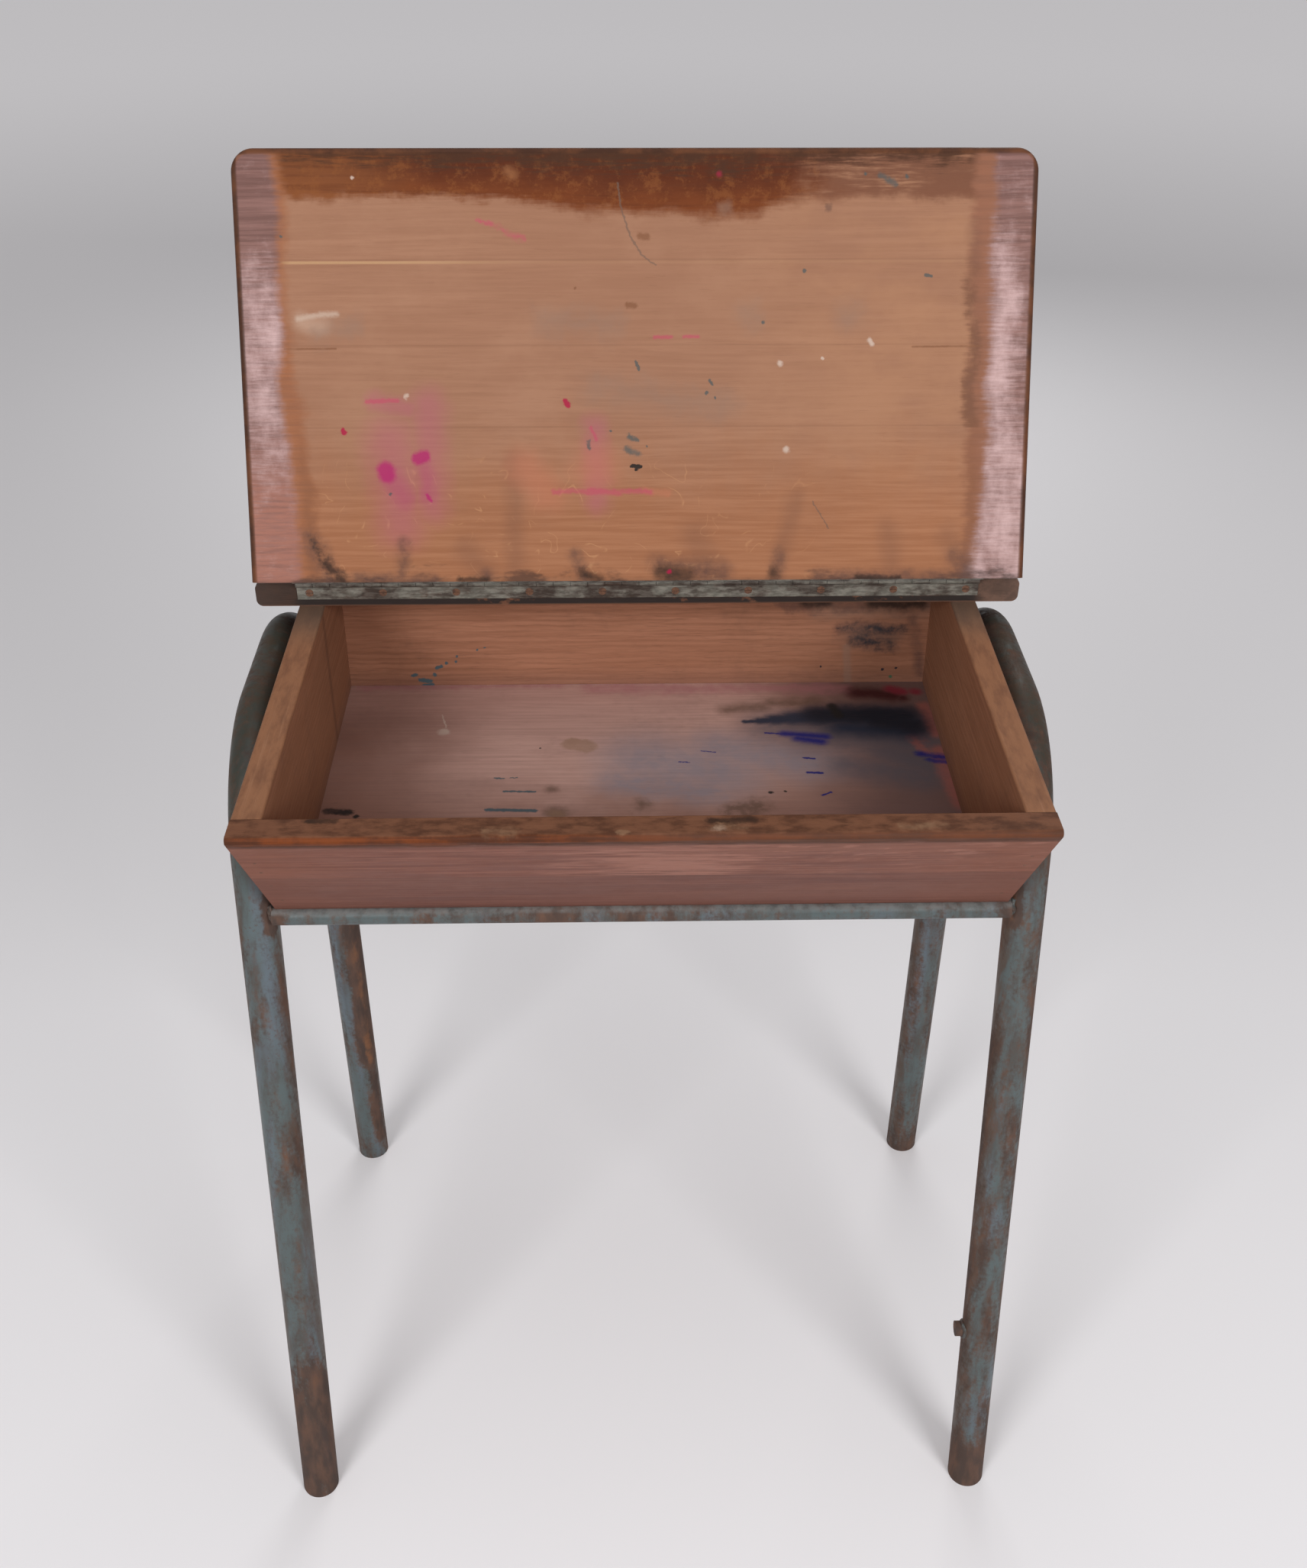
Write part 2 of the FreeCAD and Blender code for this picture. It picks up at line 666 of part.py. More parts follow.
def hinge_board():
    """The fixed board across the back of the rim, square along the hinge and rounded elsewhere."""
    body = flat_board(
        "hinge_board_blank", HINGE_BOARD_WIDTH, "0", "hinge_board_depth", "hinge_board_thickness",
        place(y=HINGE_BOARD_FRONT_Y, z=RIM), "hinge_board_depth",
        lambda box: box.YMax > TINY)
    return make_cut("hinge_board", body, fixed_leaf_holes, board_screw_holes)


def lid_boards():
    """The lid's boards from the hinge to the front. The front one has the rounded corners."""
    boards = []
    rear_y = f"-{AXIS_SET}"
    half_width = value(f"{LID_WIDTH} / 2")
    for name, share in zip(LID_BOARDS, LID_BOARD_SHARES):
        width = f"{share} * lid_length"
        front_y = f"({rear_y} - {width})"
        is_front = name == LID_BOARDS[-1]
        is_rear = not boards
        seam_y = value(rear_y)

        def rounded(box, is_front=is_front, seam_y=seam_y):
            if is_front:
                return box.YMin < seam_y - TINY
            return level(box.XLength) and near(abs(box.XMin), half_width)

        board = flat_board(
            f"{name}_blank" if is_rear else name, LID_WIDTH, front_y, width, "lid_thickness",
            place_on_lid(z=LID_UNDERSIDE), front_y if is_front else None, rounded)
        boards.append(make_cut(name, board, lid_leaf_holes) if is_rear else board)
        rear_y = front_y
    return boards


hinge_board_piece = hinge_board()
lid_pieces = lid_boards()


# Continuous hinge

KNUCKLE_PAIRS = int(value(f"{HINGE_LENGTH} / knuckle_length") / 2 + TINY)


def hinge_leaf(name, side, first, where, holes):
    """A leaf against a board's edge, with straps up to its knuckles on the axis."""
    body = make_body(f"{name}_blank", where)
    face = sorted((f"{side} * {LEAF_FACE}", f"{side} * {AXIS_SET}"), key=value)
    plate = make_sketch(body, "YZ_Plane", f"{name}_plate")
    draw_rectangle(plate, *face, "-leaf_width", f"-{AXIS_SET}")
    add_pad(body, plate, HINGE_LENGTH)
    start = f"{first} * knuckle_length + knuckle_gap / 2"
    strap = make_sketch(body, "YZ_Plane", f"{name}_strap", start)
    draw_rectangle(strap, *face, f"-{AXIS_SET}", "0")
    strap_pad = add_pad(body, strap, "knuckle_length - knuckle_gap")
    knuckle = make_sketch(body, "YZ_Plane", f"{name}_knuckle", start)
    draw_circle(knuckle, "knuckle_diameter")
    draw_circle(knuckle, "pin_diameter + 2 * pin_clearance")
    knuckle_pad = add_pad(body, knuckle, "knuckle_length - knuckle_gap")
    add_row(body, [strap_pad, knuckle_pad], "2 * knuckle_length", KNUCKLE_PAIRS)
    return make_cut(name, body, holes)


hinge_left = f"-{HINGE_LENGTH} / 2"
hinge_fixed_leaf = hinge_leaf(
    "hinge_fixed_leaf", "1", "0", place(hinge_left, AXIS_Y, AXIS_Z), fixed_leaf_holes)
hinge_lid_leaf = hinge_leaf(
    "hinge_lid_leaf", "-1", "1", place_on_lid(hinge_left), lid_leaf_holes)
hinge_pin = make_bar(
    "hinge_pin", "pin_diameter", HINGE_LENGTH, place(hinge_left, AXIS_Y, AXIS_Z, "0; 1; 0", "90"))

doc.recompute()

for item in doc.Objects:
    if {"Invalid", "Error"} & set(item.State):
        raise RuntimeError(f"{item.Name} failed: {item.State}")

pieces = [
    left_side_frame, right_side_frame, front_rail, rear_rail, stretcher_stub,
    front_upper, front_lower, left_side_board, right_side_board, back_board, floor_panel,
    hinge_board_piece, *lid_pieces, hinge_fixed_leaf, hinge_lid_leaf, hinge_pin,
    fixed_leaf_screws, lid_leaf_screws, hinge_board_screws, frame_screws, front_nails, back_nails,
]
for piece in pieces:
    if piece.Shape.isNull() or not piece.Shape.isValid():
        raise RuntimeError(f"{piece.Label} has no sound shape")

os.makedirs("parts", exist_ok=True)
for piece in pieces:
    piece.Shape.exportStep(f"parts/{piece.Label}.step")
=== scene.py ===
import json
import math

import bmesh
import bpy
import numpy as np
from bpy.props import FloatProperty, FloatVectorProperty, PointerProperty
from bpy.types import Operator, Panel, PropertyGroup
from mathutils import Matrix, Vector


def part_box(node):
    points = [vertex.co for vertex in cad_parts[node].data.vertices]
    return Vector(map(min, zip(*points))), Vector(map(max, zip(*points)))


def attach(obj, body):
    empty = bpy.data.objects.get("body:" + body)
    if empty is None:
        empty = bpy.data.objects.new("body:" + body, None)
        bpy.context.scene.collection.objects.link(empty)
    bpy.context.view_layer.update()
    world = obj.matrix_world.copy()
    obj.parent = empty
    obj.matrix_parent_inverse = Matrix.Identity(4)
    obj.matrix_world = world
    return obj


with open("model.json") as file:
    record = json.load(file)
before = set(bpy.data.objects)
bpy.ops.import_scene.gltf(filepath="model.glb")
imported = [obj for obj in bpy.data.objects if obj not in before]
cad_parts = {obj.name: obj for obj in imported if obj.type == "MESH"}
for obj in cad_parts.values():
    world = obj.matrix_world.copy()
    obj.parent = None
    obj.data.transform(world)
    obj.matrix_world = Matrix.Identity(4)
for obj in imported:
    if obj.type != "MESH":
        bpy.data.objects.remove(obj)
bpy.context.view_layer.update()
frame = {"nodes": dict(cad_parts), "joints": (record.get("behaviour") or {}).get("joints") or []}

bl_info = {
    "name": "School desk with lift lid",
    "version": (1, 0, 0),
    "blender": (4, 5, 0),
    "location": "View3D > Sidebar > Desk",
    "description": "Finishes the desk's boards, tubes, welds and hinge, and sets a studio around it",
    "category": "Object",
}

NODES = frame["nodes"]
HINGE = frame["joints"][0]
HINGE_AXIS = Vector(HINGE["pos_m"])
OPEN_ANGLE = math.radians(max(HINGE["range_deg"]))
RIM_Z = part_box("left_side_board")[1].z
FLOOR_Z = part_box("floor_panel")[1].z
BACK_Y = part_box("back_board")[0].y
BOX_HALF_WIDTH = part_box("front_upper_board")[1].x
FRAME_X = (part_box("right_side_frame")[0].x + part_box("right_side_frame")[1].x) / 2
TUBE_RADIUS = (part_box("right_side_frame")[1].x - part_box("right_side_frame")[0].x) / 2
FRAME_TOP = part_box("right_side_frame")[1].z
HINGE_HALF_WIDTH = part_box("hinge_fixed_leaf")[1].x
HINGE_BOARD_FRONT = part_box("hinge_board")[0].y
LID_HALF_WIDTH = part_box("lid_rear_board")[1].x


def node_points(name):
    return [vertex.co for vertex in NODES[name].data.vertices]


# The lid's boards from the hinge to the front, each with the number that sets its grain
LID_BOARDS = {
    "lid_rear_board": 0.0, "lid_rear_middle_board": 1.112,
    "lid_front_middle_board": 1.680, "lid_front_board": 2.264}
# The lid's own frame: X across, Y from the hinge axis (the lid lies along -Y) and Z through its thickness
LID_TURN = Matrix.Rotation(OPEN_ANGLE, 3, "X")
LID_POINTS = [[LID_TURN @ (point - HINGE_AXIS) for point in node_points(name)] for name in LID_BOARDS]
LID_UNDERSIDE = min(point.z for points in LID_POINTS for point in points)
*LID_SEAMS, LID_FRONT = [max(-point.y for point in points) for points in LID_POINTS]
# The raked front: its slope, the joint of its boards, its inner face, its foremost edge, the foot of its
# worn nose, and the middle of its pale patch, rubbed varnish with painted sheen
FRONT_SLOPE = 0.7632
FRONT_JOINT = min(point.z - point.y * FRONT_SLOPE for point in node_points("front_upper_board"))
FRONT_INSIDE = max(point.y + point.z * FRONT_SLOPE for point in node_points("front_upper_board"))
FRONT_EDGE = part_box("front_upper_board")[0].y
NOSE_Z = RIM_Z - 0.0108
FRONT_PATCH = (0.016, -0.172, 0.626)
# The soft dark line down the inside of the left wall
WALL_LINE_Y = 0.081
# The legs' axes: where they meet the ground along Y, and how far they lean
FRONT_LEG = (-0.188, math.radians(9.5))
REAR_LEG = (0.188, -math.radians(2.0))
# The camera stands where the photograph was taken from
CAMERA_PLACE = (-0.015482, -1.023836, 1.265563)
CAMERA_PITCH, CAMERA_ROLL, CAMERA_YAW = math.radians(34.10), math.radians(0.278), math.radians(-1.389)
CAMERA_LENS = 38.448
CAMERA_SENSOR = 36.0
STUDIO_HALF_WIDTH = 14.0
BLACK = (0.0, 0.0, 0.0)


def colour_prop(name, description, default):
    return FloatVectorProperty(
        name=name, description=description, default=default, size=3, subtype="COLOR", min=0.0, max=1.0)


class DeskWoodSettings(PropertyGroup):
    """Colours of the boards."""

    bare: colour_prop("Bare wood", "Unvarnished wood on the underside of the lid", (0.326, 0.163, 0.098))
    bare_dark: colour_prop("Bare grain", "Darker grain of the unvarnished wood", (0.282, 0.136, 0.080))
    warm: colour_prop("Warm wood", "Wood near the hinge, warmer than the rest", (0.352, 0.150, 0.073))
    band: colour_prop("Stained band", "Old stain along the lid's front edge", (0.078, 0.0155, 0.0035))
    band_edge: colour_prop("Stain edge", "Inner side of the stain, where it is thin", (0.148, 0.035, 0.007))
    varnish: colour_prop("Varnish", "Old varnish where it is whole", (0.150, 0.066, 0.047))
    varnish_worn: colour_prop("Worn varnish", "Old varnish where it is rubbed thin", (0.300, 0.135, 0.085))
    side_left: colour_prop("Left varnish", "Varnish left on the lid's left side", (0.290, 0.107, 0.046))
    side_right: colour_prop("Right varnish", "Varnish left on the lid's right side", (0.245, 0.099, 0.055))
    # The pale colour of the lid's side varnish is painted sheen together with bloom
    haze: colour_prop("Varnish haze", "Pale bloom on the varnish of the lid's sides", (0.580, 0.400, 0.390))
    front: colour_prop("Front boards", "Varnish of the raked front", (0.234, 0.093, 0.066))
    front_dark: colour_prop("Front grain", "Darker streaks of the raked front", (0.142, 0.053, 0.037))
    nose: colour_prop("Worn nose", "Wood worn bare along the front of the rim", (0.153, 0.037, 0.008))
    inside: colour_prop("Inside wood", "Sides and back of the box inside", (0.370, 0.165, 0.098))
    inside_dark: colour_prop("Inside grain", "Darker grain inside the box", (0.275, 0.116, 0.065))
    rim: colour_prop("Rim", "Handled upper edges of the sides", (0.275, 0.126, 0.064))
    rim_front: colour_prop("Front rim", "Handled upper edge of the front", (0.170, 0.072, 0.039))
    # The floor's middle colour is paler as painted light; its side and front colour is darker as painted
    # shade of the walls, with some dirt
    floor: colour_prop("Floor panel", "Stained floor of the box, in its middle", (0.570, 0.345, 0.288))
    floor_shade_and_dirt: colour_prop("Floor shade and dirt", "Floor of the box at its sides and front", (0.246, 0.118, 0.085))


class DeskMetalSettings(PropertyGroup):
    """Colours of the tubes and the hinge."""

    paint: colour_prop("Paint", "Grey-green paint of the tubes", (0.076, 0.098, 0.100))
    paint_dark: colour_prop("Worn paint", "Paint that is rubbed and dirty", (0.062, 0.060, 0.055))
    paint_pale: colour_prop("Pale paint", "Paint that is still fresh", (0.106, 0.136, 0.164))
    steel: colour_prop("Hinge steel", "Dull steel of the hinge", (0.120, 0.100, 0.085))
    rust: FloatProperty(
        name="Rust", description="How much of the paint is rusted",
        default=0.0, min=-0.2, max=0.2, subtype="FACTOR")


class DeskStageSettings(PropertyGroup):
    """The studio."""

    ground: colour_prop("Floor", "Pale studio floor", (0.80, 0.785, 0.80))
    key_power: FloatProperty(
        name="Key", description="Power of each front light", default=40.0, min=0.0, unit="POWER")
    top_power: FloatProperty(
        name="Top", description="Power of the light overhead", default=9.0, min=0.0, unit="POWER")
    back_power: FloatProperty(
        name="Back", description="Power of the light behind", default=20.0, min=0.0, unit="POWER")
    world_level: FloatProperty(
        name="World", description="Strength of the even light from all around", default=0.26, min=0.0)
    far_level: FloatProperty(
        name="Far floor", description="How much paler the far floor looks, with no light added",
        default=0.36, min=0.0)


class Wire:
    """A node's output in a graph. This kind carries a colour."""

    def __init__(self, graph, socket):
        self.graph = graph
        self.socket = socket


class Value(Wire):
    """A number. Arithmetic with it adds math nodes, and a comparison gives 1 or 0."""

    def __add__(self, other):
        return self.graph.math("ADD", self, other)

    def __sub__(self, other):
        return self.graph.math("SUBTRACT", self, other)

    def __rsub__(self, other):
        return self.graph.math("SUBTRACT", other, self)

    def __mul__(self, other):
        return self.graph.math("MULTIPLY", self, other)

    def __truediv__(self, other):
        return self.graph.math("DIVIDE", self, other)

    def __gt__(self, other):
        return self.graph.math("GREATER_THAN", self, other)

    def __lt__(self, other):
        return self.graph.math("LESS_THAN", self, other)

    def __abs__(self):
        return self.graph.math("ABSOLUTE", self)

    __radd__ = __add__

    def step(self, start, end, low=0.0, high=1.0):
        """A smooth step from low at start to high at end. Start may be above end."""
        inputs = {"Value": self, "From Min": start, "From Max": end, "To Min": low, "To Max": high}
        return self.graph.wire("ShaderNodeMapRange", inputs, 0, interpolation_type="SMOOTHSTEP")


class Place(Wire):
    """A vector. Arithmetic with it adds vector nodes."""

    def __add__(self, other):
        return self.graph.vector("ADD", self, other)

    def __sub__(self, other):
        return self.graph.vector("SUBTRACT", self, other)

    def __mul__(self, other):
        return self.graph.vector("MULTIPLY", self, other)

    def dot(self, other):
        return self.graph.vector("DOT_PRODUCT", self, other)

    def length(self):
        return self.graph.vector("LENGTH", self)

    def parts(self):
        outputs = self.graph.node("ShaderNodeSeparateXYZ", {0: self}).outputs
        return [Value(self.graph, socket) for socket in outputs]

    def noise(self, scale, detail=3.0, roughness=0.55, distortion=0.0):
        """Noise at this place. Three scales stretch it along the axes."""
        stretched = isinstance(scale, tuple)
        inputs = {
            "Vector": self * scale if stretched else self, "Scale": 1.0 if stretched else scale,
            "Detail": detail, "Roughness": roughness, "Distortion": distortion}
        return self.graph.wire("ShaderNodeTexNoise", inputs, 0)

    def scatter(self, scale, detail):
        """A vector of three noises, each from -0.5 to 0.5."""
        inputs = {"Vector": self, "Scale": scale, "Detail": detail, "Roughness": 0.62}
        noise = self.graph.node("ShaderNodeTexNoise", inputs)
        return Place(self.graph, noise.outputs["Color"]) - (0.5, 0.5, 0.5)


class Graph:
    """Adds nodes to one tree. A socket is fed a plain value or a wire."""

    def __init__(self, tree):
        self.tree = tree

    def node(self, kind, inputs=None, **settings):
        node = self.tree.nodes.new(kind)
        for name, setting in settings.items():
            setattr(node, name, setting)
        for key, source in (inputs or {}).items():
            self.feed(node.inputs[key], source)
        return node

    def feed(self, socket, source):
        if isinstance(source, Wire):
            self.tree.links.new(source.socket, socket)
        elif socket.type == "RGBA" and len(source) == 3:
            socket.default_value = (*source, 1.0)
        else:
            socket.default_value = source

    def carry(self, socket):
        return {"VALUE": Value, "VECTOR": Place}.get(socket.type, Wire)(self, socket)

    def wire(self, kind, inputs, output, **settings):
        return self.carry(self.node(kind, inputs, **settings).outputs[output])

    def math(self, operation, first, second=0.0, clamp=False):
        return self.wire("ShaderNodeMath", {0: first, 1: second}, 0, operation=operation, use_clamp=clamp)

    def vector(self, operation, first, second=(0.0, 0.0, 0.0)):
        output = "Value" if operation in ("LENGTH", "DOT_PRODUCT") else "Vector"
        return self.wire("ShaderNodeVectorMath", {0: first, 1: second}, output, operation=operation)

    def highest(self, first, *others):
        for other in others:
            first = self.math("MAXIMUM", first, other)
        return first

    def mix(self, share, first, second):
        return self.wire("ShaderNodeMix", {0: share, 6: first, 7: second}, 2, data_type="RGBA")

    def blend(self, share, first, second):
        return self.wire("ShaderNodeMix", {0: share, 2: first, 3: second}, 0)

    def combine(self, x, y, z):
        return self.wire("ShaderNodeCombineXYZ", {0: x, 1: y, 2: z}, 0)

    def mapping(self, place, turn, shift=(0.0, 0.0, 0.0)):
        return self.wire("ShaderNodeMapping", {"Vector": place, "Location": shift, "Rotation": turn}, 0)


class Finish(Graph):
    """A new material with a Principled shader, and the graph that feeds it."""

    def __init__(self, name, gloss=0.5):
        self.material = bpy.data.materials.new(name)
        self.material.use_nodes = True
        super().__init__(self.material.node_tree)
        self.tree.nodes.clear()
        shader = self.node("ShaderNodeBsdfPrincipled", {"Specular IOR Level": gloss})
        output = self.node("ShaderNodeOutputMaterial")
        self.tree.links.new(shader.outputs[0], output.inputs[0])
        self.shader = shader.inputs
        self.place = self.wire("ShaderNodeTexCoord", {}, "Object")

    def coat(self, colour, roughness, height, strength, depth, metallic=0.0):
        """Feeds the shader, with a bump of the given height, strength and depth, and gives the material."""
        bump = self.wire("ShaderNodeBump", {"Height": height, "Strength": strength, "Distance": depth}, 0)
        given = {"Base Color": colour, "Roughness": roughness, "Metallic": metallic, "Normal": bump}
        for name, source in given.items():
            self.feed(self.shader[name], source)
        return self.material


def dress(material, *names):
    """Puts a material on CAD nodes."""
    for name in names:
        for slot in NODES[name].material_slots:
            slot.material = material


def shared_group(name, inputs, outputs):
    """Turns a function that fills a node group into one that adds the group to a graph and gives its
    outputs. The group is made at its first use."""

    def group_tree(fill):
        if name in bpy.data.node_groups:
            return bpy.data.node_groups[name]
        tree = bpy.data.node_groups.new(name, "ShaderNodeTree")
        for direction, sockets in (("INPUT", inputs), ("OUTPUT", outputs)):
            for socket, kind in sockets.items():
                tree.interface.new_socket(socket, in_out=direction, socket_type=f"NodeSocket{kind}")
        g = Graph(tree)
        given = g.node("NodeGroupInput").outputs
        results = fill(g, *[g.carry(given[socket]) for socket in inputs])
        g.node("NodeGroupOutput", dict(zip(outputs, results)))
        return tree

    def wrap(fill):
        def use(g, *sources):
            node = g.node("ShaderNodeGroup", node_tree=group_tree(fill))
            for socket, source in zip(node.inputs, sources):
                g.feed(socket, source)
            return [g.carry(socket) for socket in node.outputs]

        return use

    return wrap


@shared_group(
    "Desk Grain",
    {"Vector": "Vector", "Board": "Float"},
    {"Streak": "Float", "Pore": "Float", "Figure": "Float"})
def grain(g, place, board):
    """Wood grain: long streaks, short dark pores and a slow figure, each from noise stretched along X."""
    place = place + g.combine(board, board, board) * (1.73, 0.37, 0.53)
    sway = (place.noise((2.2, 7.0, 7.0), 2.0) - 0.5) * 0.011
    waved = place + g.combine(0.0, sway, sway)
    streak = waved.noise((11.0, 330.0, 330.0), 6.0, 0.62)
    pore = waved.noise((55.0, 1500.0, 1500.0), 2.0).step(0.60, 0.74)
    return streak, pore, place.noise((2.6, 16.0, 16.0))


@shared_group(
    "Desk Mark",
    {"Vector": "Vector", "From": "Vector", "To": "Vector", "Width": "Float", "Soft": "Float",
     "Fine": "Vector", "Coarse": "Vector", "Patchy": "Float"},
    {"Mask": "Float"})
def mark(g, place, start, end, width, soft, fine, coarse, patchy):
    """A mark along a line from one place to another: 1 within its width and 0 outside it, fading over its
    soft share. Fine and coarse noise push the place about, and a third noise breaks up a patchy mark."""
    shift = place.scatter(360.0, 3.0) * fine + place.scatter(58.0, 5.0) * coarse
    along = end - start
    reach = place + shift - start
    share = g.math("DIVIDE", reach.dot(along), g.highest(along.dot(along), 1e-9), clamp=True)
    distance = (reach - along * g.combine(share, share, share)).length()
    patches = place.noise(105.0, 4.0, 0.62).step(0.36, 0.62)
    return (distance.step(width, width * (1.0 - soft)) * g.blend(patchy, 1.0, patches),)


@shared_group(
    "Desk Rust",
    {"Vector": "Vector", "Amount": "Float"},
    {"Mask": "Float", "Color": "Color", "Height": "Float"})
def rust(g, place, amount):
    """Rust: a patchy mask from two scales of noise, its colour from dark brown to orange, and its height."""
    fine = place.noise(260.0, 4.0, 0.64)
    level = place.noise((66.0, 66.0, 11.0), 7.0, 0.70) * 0.68 + fine * 0.32
    mask = (level + amount).step(0.47, 0.68)
    tone = place.noise((120.0, 120.0, 34.0), 4.0, 0.6)
    hot = tone + g.highest(amount - 0.36, 0.0) * 1.30
    brown = g.mix(tone.step(0.35, 0.65), (0.054, 0.031, 0.023), (0.100, 0.050, 0.032))
    return mask, g.mix(hot.step(0.58, 1.00), brown, (0.184, 0.076, 0.032)), mask * fine


@shared_group("Desk Grime", {"Vector": "Vector", "Amount": "Float"}, {"Mask": "Float"})
def grime(g, place, amount):
    """Handling dirt: a soft uneven mask that darkens wood, thicker where Amount is higher."""
    level = place.noise(17.0, 5.0, 0.62) * 0.7 + place.noise(150.0, 4.0, 0.6) * 0.3
    return ((level + amount).step(0.42, 0.68),)


@shared_group("Desk Fleck", {"Vector": "Vector", "Thickness": "Float"}, {"Mask": "Float"})
def fleck(g, place, thickness):
    """Flecks across the grain: thin curled lines where a bent noise crosses its middle, in patches."""
    line = abs(place.noise(30.0, 1.5, distortion=0.9) - 0.5).step(thickness, 0.0)
    return (line * place.noise(75.0, 2.0).step(0.50, 0.60),)


# How each kind of mark is broken up: the fine and the coarse push in metres, and the patchy share
MARK_KINDS = {
    "ink": (0.0030, 0.0000, 0.0),
    "blot": (0.0036, 0.0090, 0.2),
    "stain": (0.0040, 0.0260, 0.3),
    "drip": (0.0034, 0.0080, 0.45),
    "mist": (0.0020, 0.0100, 0.0),
    "smear": (0.0060, 0.0120, 0.7),
    "line": (0.0004, 0.0008, 0.4),
}
# Inks and stains: colour and how much of the wood they cover
INKS = {
    "magenta": ((0.350, 0.014, 0.110), 0.86),
    "magenta haze": ((0.340, 0.040, 0.125), 0.36),
    "pink": ((0.420, 0.062, 0.105), 0.66),
    "pink haze": ((0.370, 0.095, 0.140), 0.46),
    "peach": ((0.440, 0.150, 0.085), 0.46),
    "red": ((0.330, 0.008, 0.045), 0.92),
    "blue green": ((0.060, 0.080, 0.080), 0.80),
    "black": ((0.014, 0.013, 0.013), 0.95),
    "pale": ((0.520, 0.400, 0.330), 0.80),
    "scuff": ((0.470, 0.345, 0.270), 0.72),
    "bloom": ((0.450, 0.310, 0.230), 0.50),
    "knot": ((0.190, 0.080, 0.040), 0.80),
    "amber": ((0.260, 0.104, 0.042), 0.62),
    "smudge": ((0.075, 0.040, 0.036), 0.60),
    "faint": ((0.165, 0.074, 0.046), 0.34),
    "soot": ((0.034, 0.018, 0.012), 0.90),
    "grey": ((0.235, 0.150, 0.112), 0.42),
    "scratch": ((0.130, 0.085, 0.065), 0.62),
    "blue black": ((0.010, 0.013, 0.022), 0.97),
    "navy": ((0.018, 0.028, 0.052), 0.95),
    "slate": ((0.085, 0.084, 0.104), 0.70),
    "blue": ((0.010, 0.012, 0.150), 0.95),
    "teal": ((0.036, 0.086, 0.106), 0.88),
    "teal haze": ((0.080, 0.066, 0.062), 0.42),
    "maroon": ((0.050, 0.005, 0.007), 0.92),
    "crimson": ((0.240, 0.016, 0.036), 0.85),
    "salmon": ((0.360, 0.105, 0.080), 0.75),
    "rose": ((0.380, 0.150, 0.160), 0.66),
    "dust": ((0.240, 0.208, 0.236), 0.78),
    "tan": ((0.270, 0.156, 0.090), 0.60),
    "tea": ((0.110, 0.062, 0.040), 0.72),
    "green": ((0.020, 0.110, 0.060), 0.85),
}
ON_LEVEL = (1.0, 1.0, 0.0)
ON_UPRIGHT = (1.0, 0.0, 1.0)


def spread_marks(at, *rows):
    """The marks of each ink, as (from, to, width, kind, soft) in metres. A row has an ink, a kind, how
    softly its marks end, and the marks in millimetres: (x, y, width) for a spot or (x, y, to x, to y, width)
    for a line. At turns two millimetre figures into a place on the marked face."""
    found = {}
    for ink, kind, soft, *marks in rows:
        for sizes in marks:
            row = (at(*sizes[:2]), at(*sizes[-3:-1]), sizes[-1] / 1000, kind, soft)
            found.setdefault(ink, []).append(row)
    return found


def on_lid(x, y):
    """A place on the lid's underside, from its middle and from the hinge axis."""
    return x / 1000, -y / 1000, LID_UNDERSIDE


def on_floor(x, y):
    return x / 1000, y / 1000, FLOOR_Z


def on_back(x, z):
    return x / 1000, BACK_Y, z / 1000


def on_front_rim(x, y):
    return x / 1000, y / 1000, RIM_Z


